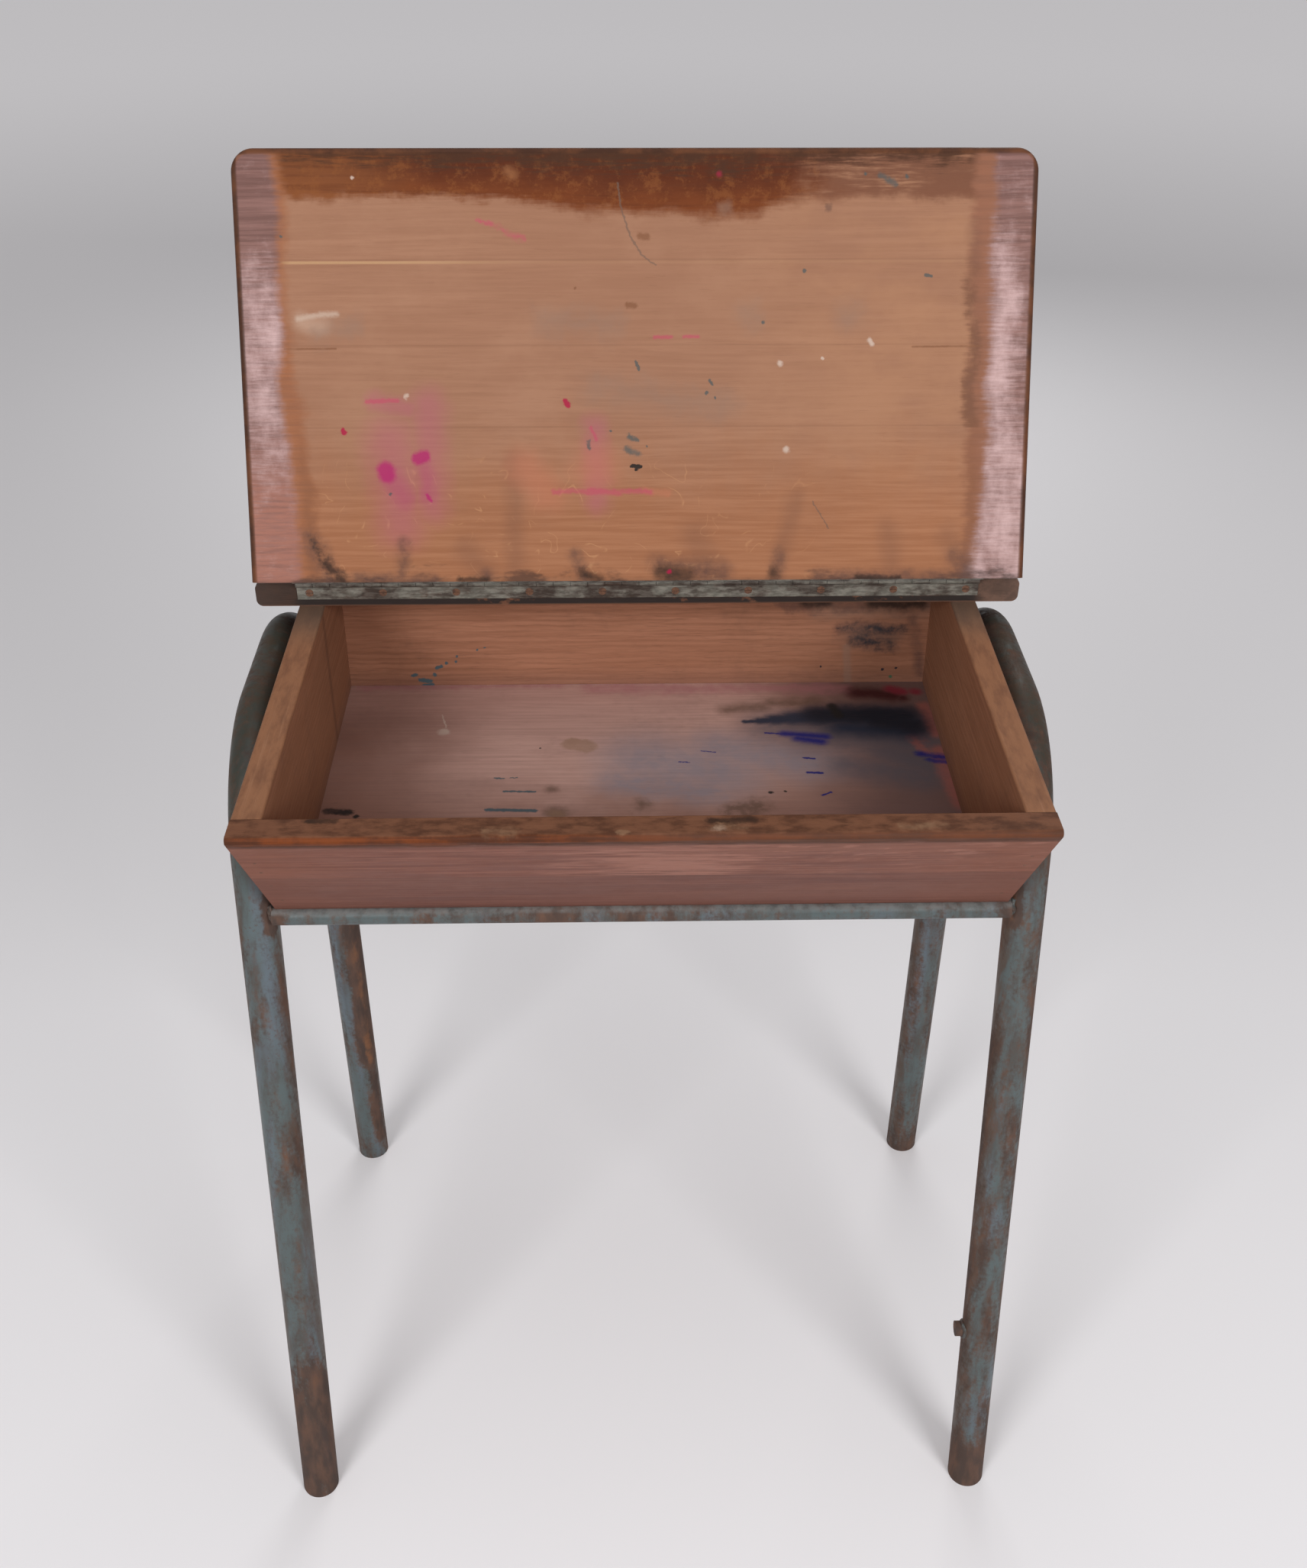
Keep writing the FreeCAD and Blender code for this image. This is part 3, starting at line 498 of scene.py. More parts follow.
LID_MARKS = spread_marks(
    on_lid,
    # A pale streak on the left side's varnish: painted sheen with bloom
    ("bloom", "mist", 1.0, (-236, 186, -224, 183, 11)),
    ("grey", "stain", 1.0, (152, 190, 20), (80, 190, 18), (-66, 186, -20, 183, 18),
     (-225, 178, -200, 185, 12), (-30, 140, 60, 128, 20)),
    ("grey", "blot", 0.8, (62, 262, 8)),
    ("faint", "mist", 1.0, (-90, 88, -90, 12, 13), (114, 62, 102, 16, 12), (182, 40, 184, 16, 14),
     (40, 36, 52, 12, 18), (226, 34, 236, 8, 16), (-126, 26, -112, 10, 16), (238, 250, 238, 226, 9)),
    ("pink haze", "mist", 1.0, (-178, 104, -172, 44, 30), (-150, 128, -150, 56, 22),
     (-188, 131, -164, 126, 12), (-31, 112, -30, 60, 16)),
    ("peach", "mist", 1.0, (-31, 84, 30), (-82, 84, -66, 66, 22)),
    ("peach", "blot", 0.9, (4, 67, 22, 66, 4)),
    ("smudge", "drip", 1.0, (-171, 30, -172, 8, 9), (-46, 22, -40, 4, 9), (102, 20, 100, 4, 10),
     (14, 14, 60, 8, 14), (130, 6, 226, 5, 8), (232, 20, 242, 4, 12), (-112, 8, 9), (-205, 5, -150, 4, 8)),
    ("smudge", "smear", 1.0, (-238, 36, -224, 4, 13)),
    ("smudge", "blot", 0.7, (135, 262, 4)),
    ("soot", "blot", 1.0, (16, 8, 34, 7, 10), (-41, 9, -30, 5, 7), (99, 7, 8), (-130, 4.5, -112, 4, 4),
     (160, 4.5, 190, 4, 4)),
    ("soot", "smear", 1.0, (-237, 34, -231, 22, 5), (-229, 17, -216, 4, 8)),
    ("magenta haze", "mist", 1.0, (-177, 76, -168, 62, 13), (-155, 84, -152, 66, 12)),
    ("magenta", "ink", 0.6, (-182, 83, -181, 80, 8.8), (-158.5, 91, -154, 92.5, 6.4)),
    ("magenta", "ink", 0.9, (-153, 65, -150, 61, 2.2)),
    ("pink", "ink", 0.8, (-194, 131, -172, 132, 2.4)),
    ("pink", "blot", 0.9, (-61, 67.5, 8, 66.2, 3.0)),
    ("pink", "ink", 0.9, (-36, 68, -14, 66, 3.4), (12, 175, 24, 175, 2.2), (33, 175.4, 43, 175, 2.0),
     (-34, 112, -30, 104, 2.2)),
    ("pink", "smear", 1.0, (-110, 255, -98, 249, 3.0), (-96, 247, -80, 240, 3.4)),
    ("red", "ink", 0.5, (-211.5, 111, -210.5, 109.5, 2.4), (-52, 131, -50.5, 128, 2.4)),
    ("red", "ink", 0.7, (22, 9, 2.4)),
    ("crimson", "ink", 0.9, (57.5, 285, 3.4)),
    ("blue green", "blot", 0.8, (-36, 104, -34, 97, 2.0), (-7, 106, -1, 102, 2.4), (-8, 97, 0, 93, 3.2)),
    ("blue green", "blot", 0.9, (171, 284, 180, 279, 3.4)),
    ("blue green", "ink", 0.5, (-20, 110, 1.2), (6, 99, 1.2), (-1.5, 158, 0.5, 153, 1.3),
     (51, 145, 53, 142, 1.3), (49, 136, 1.6), (55, 133, 1.4), (89, 185, 1.5), (-179, 66, 1.6),
     (204, 217, 208, 216, 1.6), (-249, 244, 1.5), (118, 220, 1.8)),
    ("blue green", "ink", 0.7, (189, 283, 2.2), (160, 285, 1.8)),
    ("black", "ink", 0.4, (-5, 85, 1, 84.6, 1.8), (-1.5, 82.6, 1.7)),
    ("knot", "ink", 0.7, (2, 244, 7, 243, 3.4), (-7, 197, -2, 196.5, 3.0)),
    ("knot", "ink", 0.5, (-44, 209, 1.5)),
    ("knot", "line", 0.8, (-250, 167.6, -214, 167.8, 1.1), (196, 167.8, 246, 168.2, 1.1)),
    ("amber", "blot", 1.0, (-90, 288, -86, 285, 6.5)),
    ("pale", "ink", 0.8, (165, 172.5, 167, 170, 2.5), (101.5, 156.6, 3.0), (106.5, 96.2, 3.6)),
    ("pale", "ink", 0.5, (132, 160, 1.7)),
    ("pale", "ink", 0.6, (-198, 283, 1.7)),
    ("pale", "blot", 0.8, (-165, 134.5, 2.6)),
    ("scuff", "ink", 1.0, (-240, 188.5, -222, 191, 3.2), (-224, 191, -213, 191.5, 3.4)),
    ("scratch", "ink", 0.5, (-13.5, 279, -11, 262, 0.8), (-11, 262, -5, 244, 0.9), (-5, 244, 3, 231, 0.9),
     (3, 231, 13, 224, 0.8), (126, 59, 138, 40, 0.6)),
)
FLOOR_MARKS = spread_marks(
    on_floor,
    ("rose", "stain", 1.0, (-40, 158, 170, 154, 15), (-228, 162, -60, 164, 8)),
    ("dust", "blot", 1.0, (4, 50, 60, 34, 62), (60, 66, 128, 44, 44)),
    ("dust", "stain", 1.0, (-14, 22, 50, 8, 34)),
    ("slate", "blot", 1.0, (104, 98, 214, 92, 40), (140, 84, 200, 60, 40), (160, 40, 214, 24, 34)),
    ("slate", "mist", 1.0, (134, 86, 216, 70, 44), (190, 58, 224, 38, 36)),
    ("salmon", "blot", 0.9, (230, 126, 233, 84, 10)),
    ("salmon", "blot", 1.0, (232, 60, 236, -14, 12)),
    ("salmon", "stain", 1.0, (212, 96, 222, 60, 9)),
    ("tea", "blot", 1.0, (72, 123, 100, 128, 15), (104, 132, 142, 134, 12)),
    ("tea", "smear", 0.7, (70, -20, 86, -14, 17)),
    ("tea", "blot", 0.8, (-62, -20, 14)),
    ("tea", "stain", 1.0, (0, -10, 14)),
    ("tea", "blot", 0.9, (-66, 12, 9)),
    ("tan", "blot", 0.4, (-52, 73, -41, 70, 10)),
    ("tan", "blot", 0.8, (-62, -22, 9)),
    ("navy", "ink", 0.8, (84, 104, 98, 105, 4), (96, 105, 110, 107, 8), (108, 107, 124, 109, 13),
     (122, 109, 142, 111, 18), (140, 111, 160, 112, 22)),
    ("navy", "blot", 0.8, (158, 111, 210, 108, 28)),
    ("navy", "mist", 1.0, (160, 94, 214, 88, 24)),
    ("blue black", "mist", 0.9, (144, 114, 212, 112, 23), (190, 106, 218, 96, 22)),
    ("black", "ink", 0.8, (156, 127, 160, 112, 6.5)),
    ("black", "ink", 0.5, (97, 4.4, 2.6), (108, 6, 1.4), (-77, 68, 1.2), (-208, -22, 3)),
    ("black", "blot", 0.6, (-230, -15, -214, -16.5, 5.6)),
    ("blue", "ink", 1.0, (114, 86, 146, 81, 8.0), (124, 79, 142, 74, 9.0)),
    ("blue", "ink", 0.8, (99, 87, 118, 85, 1.6), (48, 62, 58, 60, 1.0), (30, 47, 38, 46, 0.9)),
    ("blue", "blot", 0.9, (216, 56, 234, 50, 6.5), (222, 47, 235, 44, 5.0)),
    ("blue", "ink", 0.5, (127, 31, 138, 30, 1.8), (126, 51, 134, 50, 1.6), (135, 0, 142, 4, 1.2)),
    ("teal", "ink", 0.6, (-113, -15, -78, -16.5, 2.8), (-102, 9, -79, 8, 1.6)),
    ("teal", "ink", 0.7, (-110, 27, -103, 26, 1.5), (-98, 27, -93, 27, 1.0)),
    ("maroon", "mist", 0.9, (180, 148, 206, 143, 17), (214, 138, 10)),
    ("crimson", "mist", 0.9, (206, 154, 216, 149, 9), (226, 148, 9)),
    ("pale", "blot", 0.6, (-154, 92, 7)),
    ("pale", "ink", 0.9, (-152, 99, -157, 118, 0.8)),
)
BACK_MARKS = spread_marks(
    on_back,
    ("grey", "ink", 0.7, (170, 594, 173, 562, 5)),
    ("grey", "stain", 1.0, (150, 626, 232, 628, 16)),
    ("smudge", "stain", 0.9, (120, 632, 232, 634, 12)),
    ("smudge", "drip", 1.0, (222, 620, 232, 570, 8)),
    ("soot", "blot", 0.9, (134, 636, 152, 634, 8), (186, 634, 226, 634, 9)),
    ("teal", "ink", 0.5, (-184, 570, -181, 571, 1.9), (-178, 566, -170, 565, 2.6), (-166, 571, 2.3),
     (-164, 577, -160, 579, 1.9), (-156, 582, 1.8), (-148, 583, 1.6), (-147, 588, 1.5), (-130, 594, 1.5),
     (-124, 596, 1.2), (-176, 561, -168, 562, 1.8)),
    ("blue black", "smear", 1.0, (164, 610, 190, 612, 8.0), (190, 611, 216, 610, 7.0),
     (176, 601, 204, 596, 10.0), (188, 606, 10.0)),
    ("blue black", "ink", 0.5, (150, 576, 1.3), (201, 573, 1.8), (212, 574, 1.4)),
    ("teal haze", "stain", 1.0, (174, 605, 208, 604, 16)),
    ("green", "ink", 0.7, (208, 566, 2.2)),
)
RIM_MARKS = spread_marks(
    on_front_rim,
    ("soot", "blot", 0.7, (40, -190, 66, -190, 5.0), (-205, -187, -190, -187, 4.0)),
    ("scuff", "smear", 1.0, (42, -198, 46, -198, 4.0)),
    ("tan", "smear", 0.9, (-96, -199, -82, -199, 7.0)),
    ("tan", "blot", 0.7, (-16, -200, -12, -200, 3.4)),
    ("tan", "smear", 1.0, (42, -197, 60, -197, 6.0), (156, -197, 182, -197, 6.0)),
)


def marks_mask(g, place, marks, plane):
    """The union of a list of marks. The plane is 1 along the marked face."""
    masks = []
    for start, end, width, kind, soft in marks:
        fine, coarse, patchy = MARK_KINDS[kind]
        pushes = (Vector(plane) * fine, Vector(plane) * coarse)
        masks += mark(g, place, start, end, width, soft, *pushes, patchy)
    return g.highest(*masks)


def add_marks(g, colour, place, table, plane):
    """Paints each ink's marks over a colour."""
    for ink, marks in table.items():
        tint, cover = INKS[ink]
        colour = g.mix(marks_mask(g, place, marks, plane) * cover, colour, tint)
    return colour


def marks_between(table, near, far):
    """The marks of the lid that lie between two distances from the hinge axis, with their ragged edges."""
    found = {}
    for ink, marks in table.items():
        for row in marks:
            start, end, width, kind, _ = row
            spread = width + MARK_KINDS[kind][0] + MARK_KINDS[kind][1]
            if near < max(-start[1], -end[1]) + spread and min(-start[1], -end[1]) - spread < far:
                found.setdefault(ink, []).append(row)
    return found


def lid_material(wood, name, board, near, far):
    """A board of the lid, from near to far of the hinge axis: bare wood with old varnish at the sides,
    a stained band along the lid's front, the ink that lies on this board, and a varnished upper face."""
    g = Finish(name, 0.16)
    place = g.mapping(g.place, (OPEN_ANGLE, 0.0, 0.0), -(LID_TURN @ HINGE_AXIS))
    x, y, z = place.parts()
    reach = y * -1.0
    inward = LID_FRONT - reach
    streak, pore, figure = grain(g, place, board)
    wobble = place.noise(34.0, 5.0, 0.62) - 0.5
    drag = place.noise((40.0, 420.0, 420.0), 4.0, 0.62) - 0.5
    clouds = place.noise((14.0, 20.0, 20.0), 4.0, 0.6)

    # Bare wood in broad and fine streaks, warmer towards the hinge
    colour = g.mix(streak.step(0.34, 0.68), wood.bare_dark, wood.bare)
    colour = g.mix(figure.step(0.38, 0.64, 0.0, 0.62), colour, wood.bare_dark)
    colour = g.mix(clouds.step(0.46, 0.74, 0.0, 0.45), colour, (0.352, 0.184, 0.112))
    colour = g.mix(x.step(0.02, 0.20) * clouds.step(0.30, 0.62) * 0.60, colour, (0.362, 0.180, 0.098))
    warmth = (reach + wobble * 0.07).step(0.130, 0.030) * 0.80
    colour = g.mix(warmth, colour, g.mix(streak.step(0.36, 0.68), (0.290, 0.113, 0.050), wood.warm))
    colour = g.mix(pore * 0.18, colour, (0.170, 0.075, 0.043))
    if near < 0.10:
        flecks = fleck(g, place, 0.010)[0] * reach.step(0.100, 0.075) * x.step(0.19, 0.02) * 0.55
        colour = g.mix(flecks, colour, (0.470, 0.235, 0.115))

    # Joints between the boards: a pale ridge that fades to the right, the others thin and dark
    ridge = abs(reach - LID_SEAMS[2]).step(0.0015, 0.0004) * x.step(-0.060, -0.190, 0.08, 0.64)
    colour = g.mix(ridge, colour, (0.480, 0.290, 0.150))
    for seam in LID_SEAMS:
        beyond = abs(reach - (seam + 0.0016))
        colour = g.mix(beyond.step(0.0010, 0.0002) * 0.20, colour, (0.170, 0.075, 0.041))

    if far > 0.24:
        # Stained band along the front: dark at the edge, orange at its ragged inner side, thin at the right
        lobe = x.step(-0.12, 0.0) * x.step(0.125, 0.070)
        depth = inward / (0.0350 + lobe * 0.0105 + (wobble * 0.022 + drag * 0.009))
        right = (x + wobble * 0.10).step(0.090, 0.170)
        broken = (clouds + drag * 0.7).step(0.72, 0.42)
        band = depth.step(1.10, 0.84) * g.blend(right, 0.98, broken * 0.92)
        tint = g.mix((depth + wobble).step(0.30, 1.0), wood.band, wood.band_edge)
        tint = g.mix(x.step(-0.130, -0.220, 0.0, 0.55), tint, (0.225, 0.078, 0.026))
        tint = g.mix(streak.step(0.44, 0.72, 0.0, 0.50), tint, (0.080, 0.018, 0.0045))
        tint = g.mix(place.noise(130.0, 5.0, 0.70).step(0.48, 0.66, 0.0, 0.45), tint, (0.215, 0.070, 0.018))
        tint = g.mix(right * 0.85, tint, (0.162, 0.067, 0.039))
        colour = g.mix(band, colour, tint)
        lip = depth + (drag + wobble)
        colour = g.mix(lip.step(0.46, 0.08, 0.0, 0.84), colour, (0.052, 0.021, 0.010))

    # Varnish left along the sides: orange-brown within, purple-brown outside, with pale streaks of bloom and
    # painted sheen
    inset = LID_HALF_WIDTH - abs(x)
    on_right = x > 0.0
    border = g.blend(on_right, reach.step(0.210, 0.050, 0.0345, 0.0470), 0.0445)
    depth_in = border - (inset + (wobble * 0.020 + drag * g.blend(on_right, 0.006, 0.012)))
    side = depth_in.step(-0.0060, 0.0035)
    inner = g.mix(on_right, wood.side_left, wood.side_right)
    inner = g.mix(streak.step(0.34, 0.62, 0.40, 0.0), inner, (0.165, 0.070, 0.042))
    purple = g.mix(streak.step(0.35, 0.68), (0.140, 0.068, 0.058), (0.235, 0.120, 0.104))
    rosy = (1.0 - on_right) * reach.step(0.120, 0.050) * drag.step(-0.16, 0.10, 0.45, 0.95)
    purple = g.mix(rosy, purple, (0.315, 0.132, 0.096))
    left_strip = reach.step(0.190, 0.130, 0.0025, 0.0105)
    right_strip = reach.step(0.020, 0.070, 0.0040, 0.0125)
    beyond_strip = depth_in - g.blend(on_right, left_strip, right_strip)
    varnish = g.mix(beyond_strip.step(-0.0030, 0.0060), inner, purple)
    lines = place.noise((60.0, 620.0, 620.0), 5.0, 0.68)
    soft = place.noise((46.0, 30.0, 30.0), 5.0, 0.66)
    left_bloom_and_sheen = reach.step(0.270, 0.190, 0.0, 0.78) * g.blend(reach.step(0.030, 0.150), 0.30, 1.0)
    outward = beyond_strip.step(0.026, 0.010, reach.step(0.160, 0.070, 0.45, 1.0), 1.0)
    right_bloom_and_sheen = reach.step(0.300, 0.165, 0.30, 0.88) * outward
    # Pale streaks: painted sheen of light on the varnish, mixed with its bloom
    bloom = lines * 0.50 + soft * 0.82 + g.blend(on_right, left_bloom_and_sheen, right_bloom_and_sheen) * 0.46
    bloom = bloom.step(0.74, 1.32) * beyond_strip.step(-0.0040, 0.0080)
    varnish = g.mix(bloom * 0.92, varnish, wood.haze)
    colour = g.mix(side * 0.96, colour, varnish)
    if far > 0.12:
        dark = abs(depth_in - 0.001).step(0.0080, 0.0010) * on_right
        dark = dark * reach.step(0.245, 0.200) * soft.step(0.30, 0.52, 0.15, 0.66)
        colour = g.mix(dark, colour, (0.130, 0.055, 0.030))
    if near < 0.16:
        line = side * depth_in.step(0.0100, 0.0030) * reach.step(0.150, 0.060) * 0.55
        colour = g.mix(line, colour, (0.200, 0.077, 0.034))
    if near < 0.10:
        # Grime along the hinge
        rise = place.noise((24.0, 60.0, 60.0), 5.0, 0.62).step(0.40, 0.78, 0.0020, 0.0170)
        colour = g.mix((reach - rise).step(0.0050, -0.0050) * 0.74, colour, (0.042, 0.024, 0.020))
    colour = add_marks(g, colour, place, marks_between(LID_MARKS, near, far), ON_LEVEL)

    # Upper face and rounded edges: whole varnish, rubbed through towards the front
    rubbed = place.noise(9.0, 5.0, 0.6) + inward.step(0.10, 0.02, 0.0, 0.10)
    top = g.mix(streak.step(0.32, 0.70), (0.088, 0.037, 0.026), wood.varnish)
    top = g.mix(rubbed.step(0.50, 0.68, 0.0, 0.60), top, wood.varnish_worn)
    top = g.mix(grime(g, place, -0.05)[0] * 0.45, top, (0.045, 0.022, 0.018))
    edge = g.highest(inset.step(0.0055, 0.0036), inward.step(0.0055, 0.0036))
    edge_tint = g.mix(wobble.step(-0.12, 0.16), (0.048, 0.019, 0.010), (0.132, 0.047, 0.019))
    under = z.step(LID_UNDERSIDE + 0.0006, LID_UNDERSIDE + 0.0001)
    colour = g.mix(edge * 0.85, g.mix(under, top, colour), edge_tint)
    glossy = g.highest((1.0 - under) * (1.0 - edge), side * 0.7)
    return g.coat(colour, g.blend(glossy, 0.72, 0.46) + drag * 0.20, streak * 0.5 - pore, 0.14, 0.0006)


def box_wood_material(name, wood, turn, inside_test, marks):
    """A board of the box: warm wood inside, darker varnish outside, a handled rim on top.
    Turn sets the grain along X. The inside test gives 1 on inner faces from x and y. The sides have no
    marks."""
    g = Finish(name, 0.25)
    place = g.place
    along = g.mapping(place, turn)
    x, y, z = place.parts()
    streak, pore, figure = grain(g, along, 0.3 if marks else (x > 0.0) * 0.6)
    inside = inside_test(x, y)
    bare = g.mix(streak.step(0.32, 0.68), wood.inside_dark, wood.inside)
    bare = g.mix(figure.step(0.38, 0.66, 0.0, 0.5), bare, wood.inside_dark)
    if not marks:
        # The sides are painted darker than the back, as shade, with a soft dark line down the left one
        bare = g.mix(0.36, bare, (0.150, 0.066, 0.022))
        line = abs(y - WALL_LINE_Y).step(0.0075, 0.0010) * (x < 0.0)
        bare = g.mix(line * 0.36, bare, (0.060, 0.028, 0.018))
    colour = g.mix(inside, g.mix(streak.step(0.32, 0.70), wood.front_dark, wood.front), bare)
    # Arched figure of a board sawn across the rings
    waves = {
        "Vector": along * (3.2, 1.0, 9.0),
        "Scale": 7.0, "Distortion": 5.0, "Detail": 3.0, "Detail Scale": 1.6}
    rings = g.wire("ShaderNodeTexWave", waves, "Fac", bands_direction="Z")
    colour = g.mix(rings.step(0.55, 0.95) * inside * 0.22, colour, (0.170, 0.070, 0.036))
    colour = g.mix(pore * 0.40, colour, (0.085, 0.038, 0.024))
    # Dirt in uneven patches, then painted shade low on the inner walls where they meet the floor
    colour = g.mix(grime(g, place, -0.08)[0] * 0.30, colour, (0.105, 0.054, 0.036))
    colour = g.mix(z.step(FLOOR_Z + 0.020, FLOOR_Z) * inside * 0.35, colour, (0.125, 0.062, 0.050))
    # Handled rim, greyed towards the back by painted shadow of the hinge board and lid
    blotch = along.noise((34.0, 110.0, 110.0), 5.0, 0.66)
    rim = g.mix(blotch.step(0.28, 0.62), (0.190, 0.084, 0.045), wood.rim)
    rim = g.mix(streak.step(0.55, 0.78, 0.0, 0.6), rim, (0.360, 0.185, 0.105))
    rim = g.mix(y.step(0.020, 0.085) * 0.70, rim, (0.105, 0.074, 0.056))
    colour = g.mix(z.step(RIM_Z - 0.0026, RIM_Z - 0.0006), colour, rim)
    colour = add_marks(g, colour, place, marks, ON_UPRIGHT)
    return g.coat(colour, g.blend(inside, 0.50, 0.68) + blotch * 0.10, streak * 0.5 - pore, 0.25, 0.0006)


def front_material(wood):
    """The raked front: dusky varnish, pale flecks, a pale patch of rubbed varnish and painted sheen, a worn
    orange nose and a handled rim.
    """
    g = Finish("front_wood_finish", 0.16)
    place = g.place
    x, y, z = place.parts()
    slope = z - y * FRONT_SLOPE
    lower = slope < FRONT_JOINT
    streak, pore, figure = grain(g, place, 2.0 + lower)
    wobble = place.noise(42.0, 5.0, 0.62) - 0.5
    drag = place.noise((24.0, 230.0, 230.0), 5.0, 0.68) - 0.5
    clouds = place.noise((13.0, 60.0, 60.0), 4.0, 0.6)
    colour = g.mix(streak.step(0.34, 0.68), wood.front_dark, wood.front)
    colour = g.mix(clouds.step(0.44, 0.66, 0.0, 0.45), colour, (0.150, 0.068, 0.056))
    colour = g.mix(figure.step(0.46, 0.70, 0.0, 0.45), colour, (0.255, 0.110, 0.076))
    colour = g.mix(abs(x).step(0.150, 0.250, 0.0, 0.45), colour, (0.215, 0.078, 0.044))
    colour = g.mix(lower * 0.40, colour, (0.125, 0.055, 0.044))
    # Pale patch in the middle, rubbed varnish with painted sheen, and pale flecks to its right, both on the
    # upper board
    patch = ((place - FRONT_PATCH) * (12.0, 17.0, 17.0)).length()
    patch = (patch + drag * 2.8).step(0.95, 0.15)
    dashes = (place + g.combine(0.0, 0.0, x * -0.22)).noise((38.0, 150.0, 150.0), 3.0, 0.6).step(0.53, 0.68)
    dashes = dashes * x.step(-0.02, 0.08, 0.22, 1.0) * z.step(0.625, 0.650, 0.35, 1.0)
    pale = g.highest(patch * 0.85, dashes * 0.70) * (1.0 - lower)
    colour = g.mix(pale, colour, (0.318, 0.143, 0.104))
    colour = g.mix(pore * 0.40, colour, (0.090, 0.042, 0.034))
    colour = g.mix(grime(g, place, -0.10)[0] * 0.35, colour, (0.085, 0.042, 0.036))
    colour = g.mix(abs(slope - FRONT_JOINT).step(0.0012, 0.0003) * 0.40, colour, (0.090, 0.042, 0.034))
    # Inner face of the front, seen over the rim
    inner = (y + z * FRONT_SLOPE).step(FRONT_INSIDE - 0.0039, FRONT_INSIDE - 0.0024)
    inner = inner * abs(x).step(BOX_HALF_WIDTH - 0.0004, BOX_HALF_WIDTH - 0.0016)
    colour = g.mix(inner, colour, g.mix(streak.step(0.32, 0.68), wood.inside_dark, wood.inside))
    # Worn nose, then the rim behind it
    nose = g.mix((streak + wobble).step(0.34, 0.70), (0.066, 0.020, 0.008), wood.nose)
    nose = g.mix(x.step(-0.080, 0.040, 0.0, 0.60), nose, (0.095, 0.040, 0.023))
    colour = g.mix((z + wobble * 0.010).step(NOSE_Z, NOSE_Z + 0.0026), colour, nose)
    crease = z.step(NOSE_Z - 0.0022, NOSE_Z + 0.0004) * z.step(NOSE_Z + 0.0042, NOSE_Z + 0.0018) * 0.55
    colour = g.mix(crease, colour, (0.060, 0.025, 0.015))
    blotch = place.noise((60.0, 110.0, 60.0), 5.0, 0.64)
    rim = g.mix(blotch.step(0.34, 0.62), (0.088, 0.036, 0.020), wood.rim_front)
    rim = g.mix(streak.step(0.58, 0.80, 0.0, 0.5), rim, (0.270, 0.130, 0.070))
    on_rim = (y + wobble * 0.006).step(FRONT_EDGE + 0.0004, FRONT_EDGE + 0.0032)
    on_rim = on_rim * z.step(RIM_Z - 0.0010, RIM_Z - 0.0002)
    colour = add_marks(g, g.mix(on_rim, colour, rim), place, RIM_MARKS, ON_LEVEL)
    rough = 0.52 + place.noise(60.0, 4.0) * 0.2
    return g.coat(colour, rough, streak * 0.6 - pore + wobble * 0.6, 0.30, 0.0007)


def floor_material(wood):
    """The floor panel: greyed wood with spilt ink, mostly at the right."""
    g = Finish("floor_wood_finish", 0.3)
    place = g.place
    x, y, z = place.parts()
    streak, pore, figure = grain(g, place, 5.0)
    clouds = place.noise(11.0, 4.0, 0.6)
    sway = (clouds - 0.5) * 0.16
    # Paler in the middle as painted light, darker along the sides and the front as painted shade of the
    # walls with some dirt
    middle = (abs(x + 0.020) + sway).step(0.230, 0.070) * (y + sway).step(-0.060, 0.060, 0.15, 1.0)
    colour = g.mix(middle, wood.floor_shade_and_dirt, wood.floor)
    # Painted light on the rear of the floor, left of the middle
    colour = g.mix(y.step(0.080, 0.160) * x.step(0.120, 0.020) * 0.50, colour, (0.640, 0.385, 0.330))
    colour = g.mix(streak.step(0.32, 0.70, 0.30, 0.0), colour, (0.190, 0.104, 0.084))
    colour = g.mix(figure.step(0.38, 0.66, 0.0, 0.25), colour, (0.300, 0.165, 0.140))
    colour = g.mix(grime(g, place, -0.06)[0] * 0.22, colour, (0.150, 0.085, 0.075))
    colour = g.mix((x + clouds * 0.08).step(0.14, 0.26) * 0.62, colour, (0.120, 0.078, 0.078))
    colour = add_marks(g, colour, place, FLOOR_MARKS, ON_LEVEL)
    colour = g.mix(pore * 0.24, colour, (0.080, 0.045, 0.040))
    underside = g.mix(streak.step(0.3, 0.7), wood.inside_dark, wood.inside)
    colour = g.mix(z.step(FLOOR_Z - 0.0004, FLOOR_Z - 0.0012), colour, underside)
    return g.coat(colour, 0.54 + clouds * 0.2, streak * 0.4 - pore, 0.20, 0.0005)


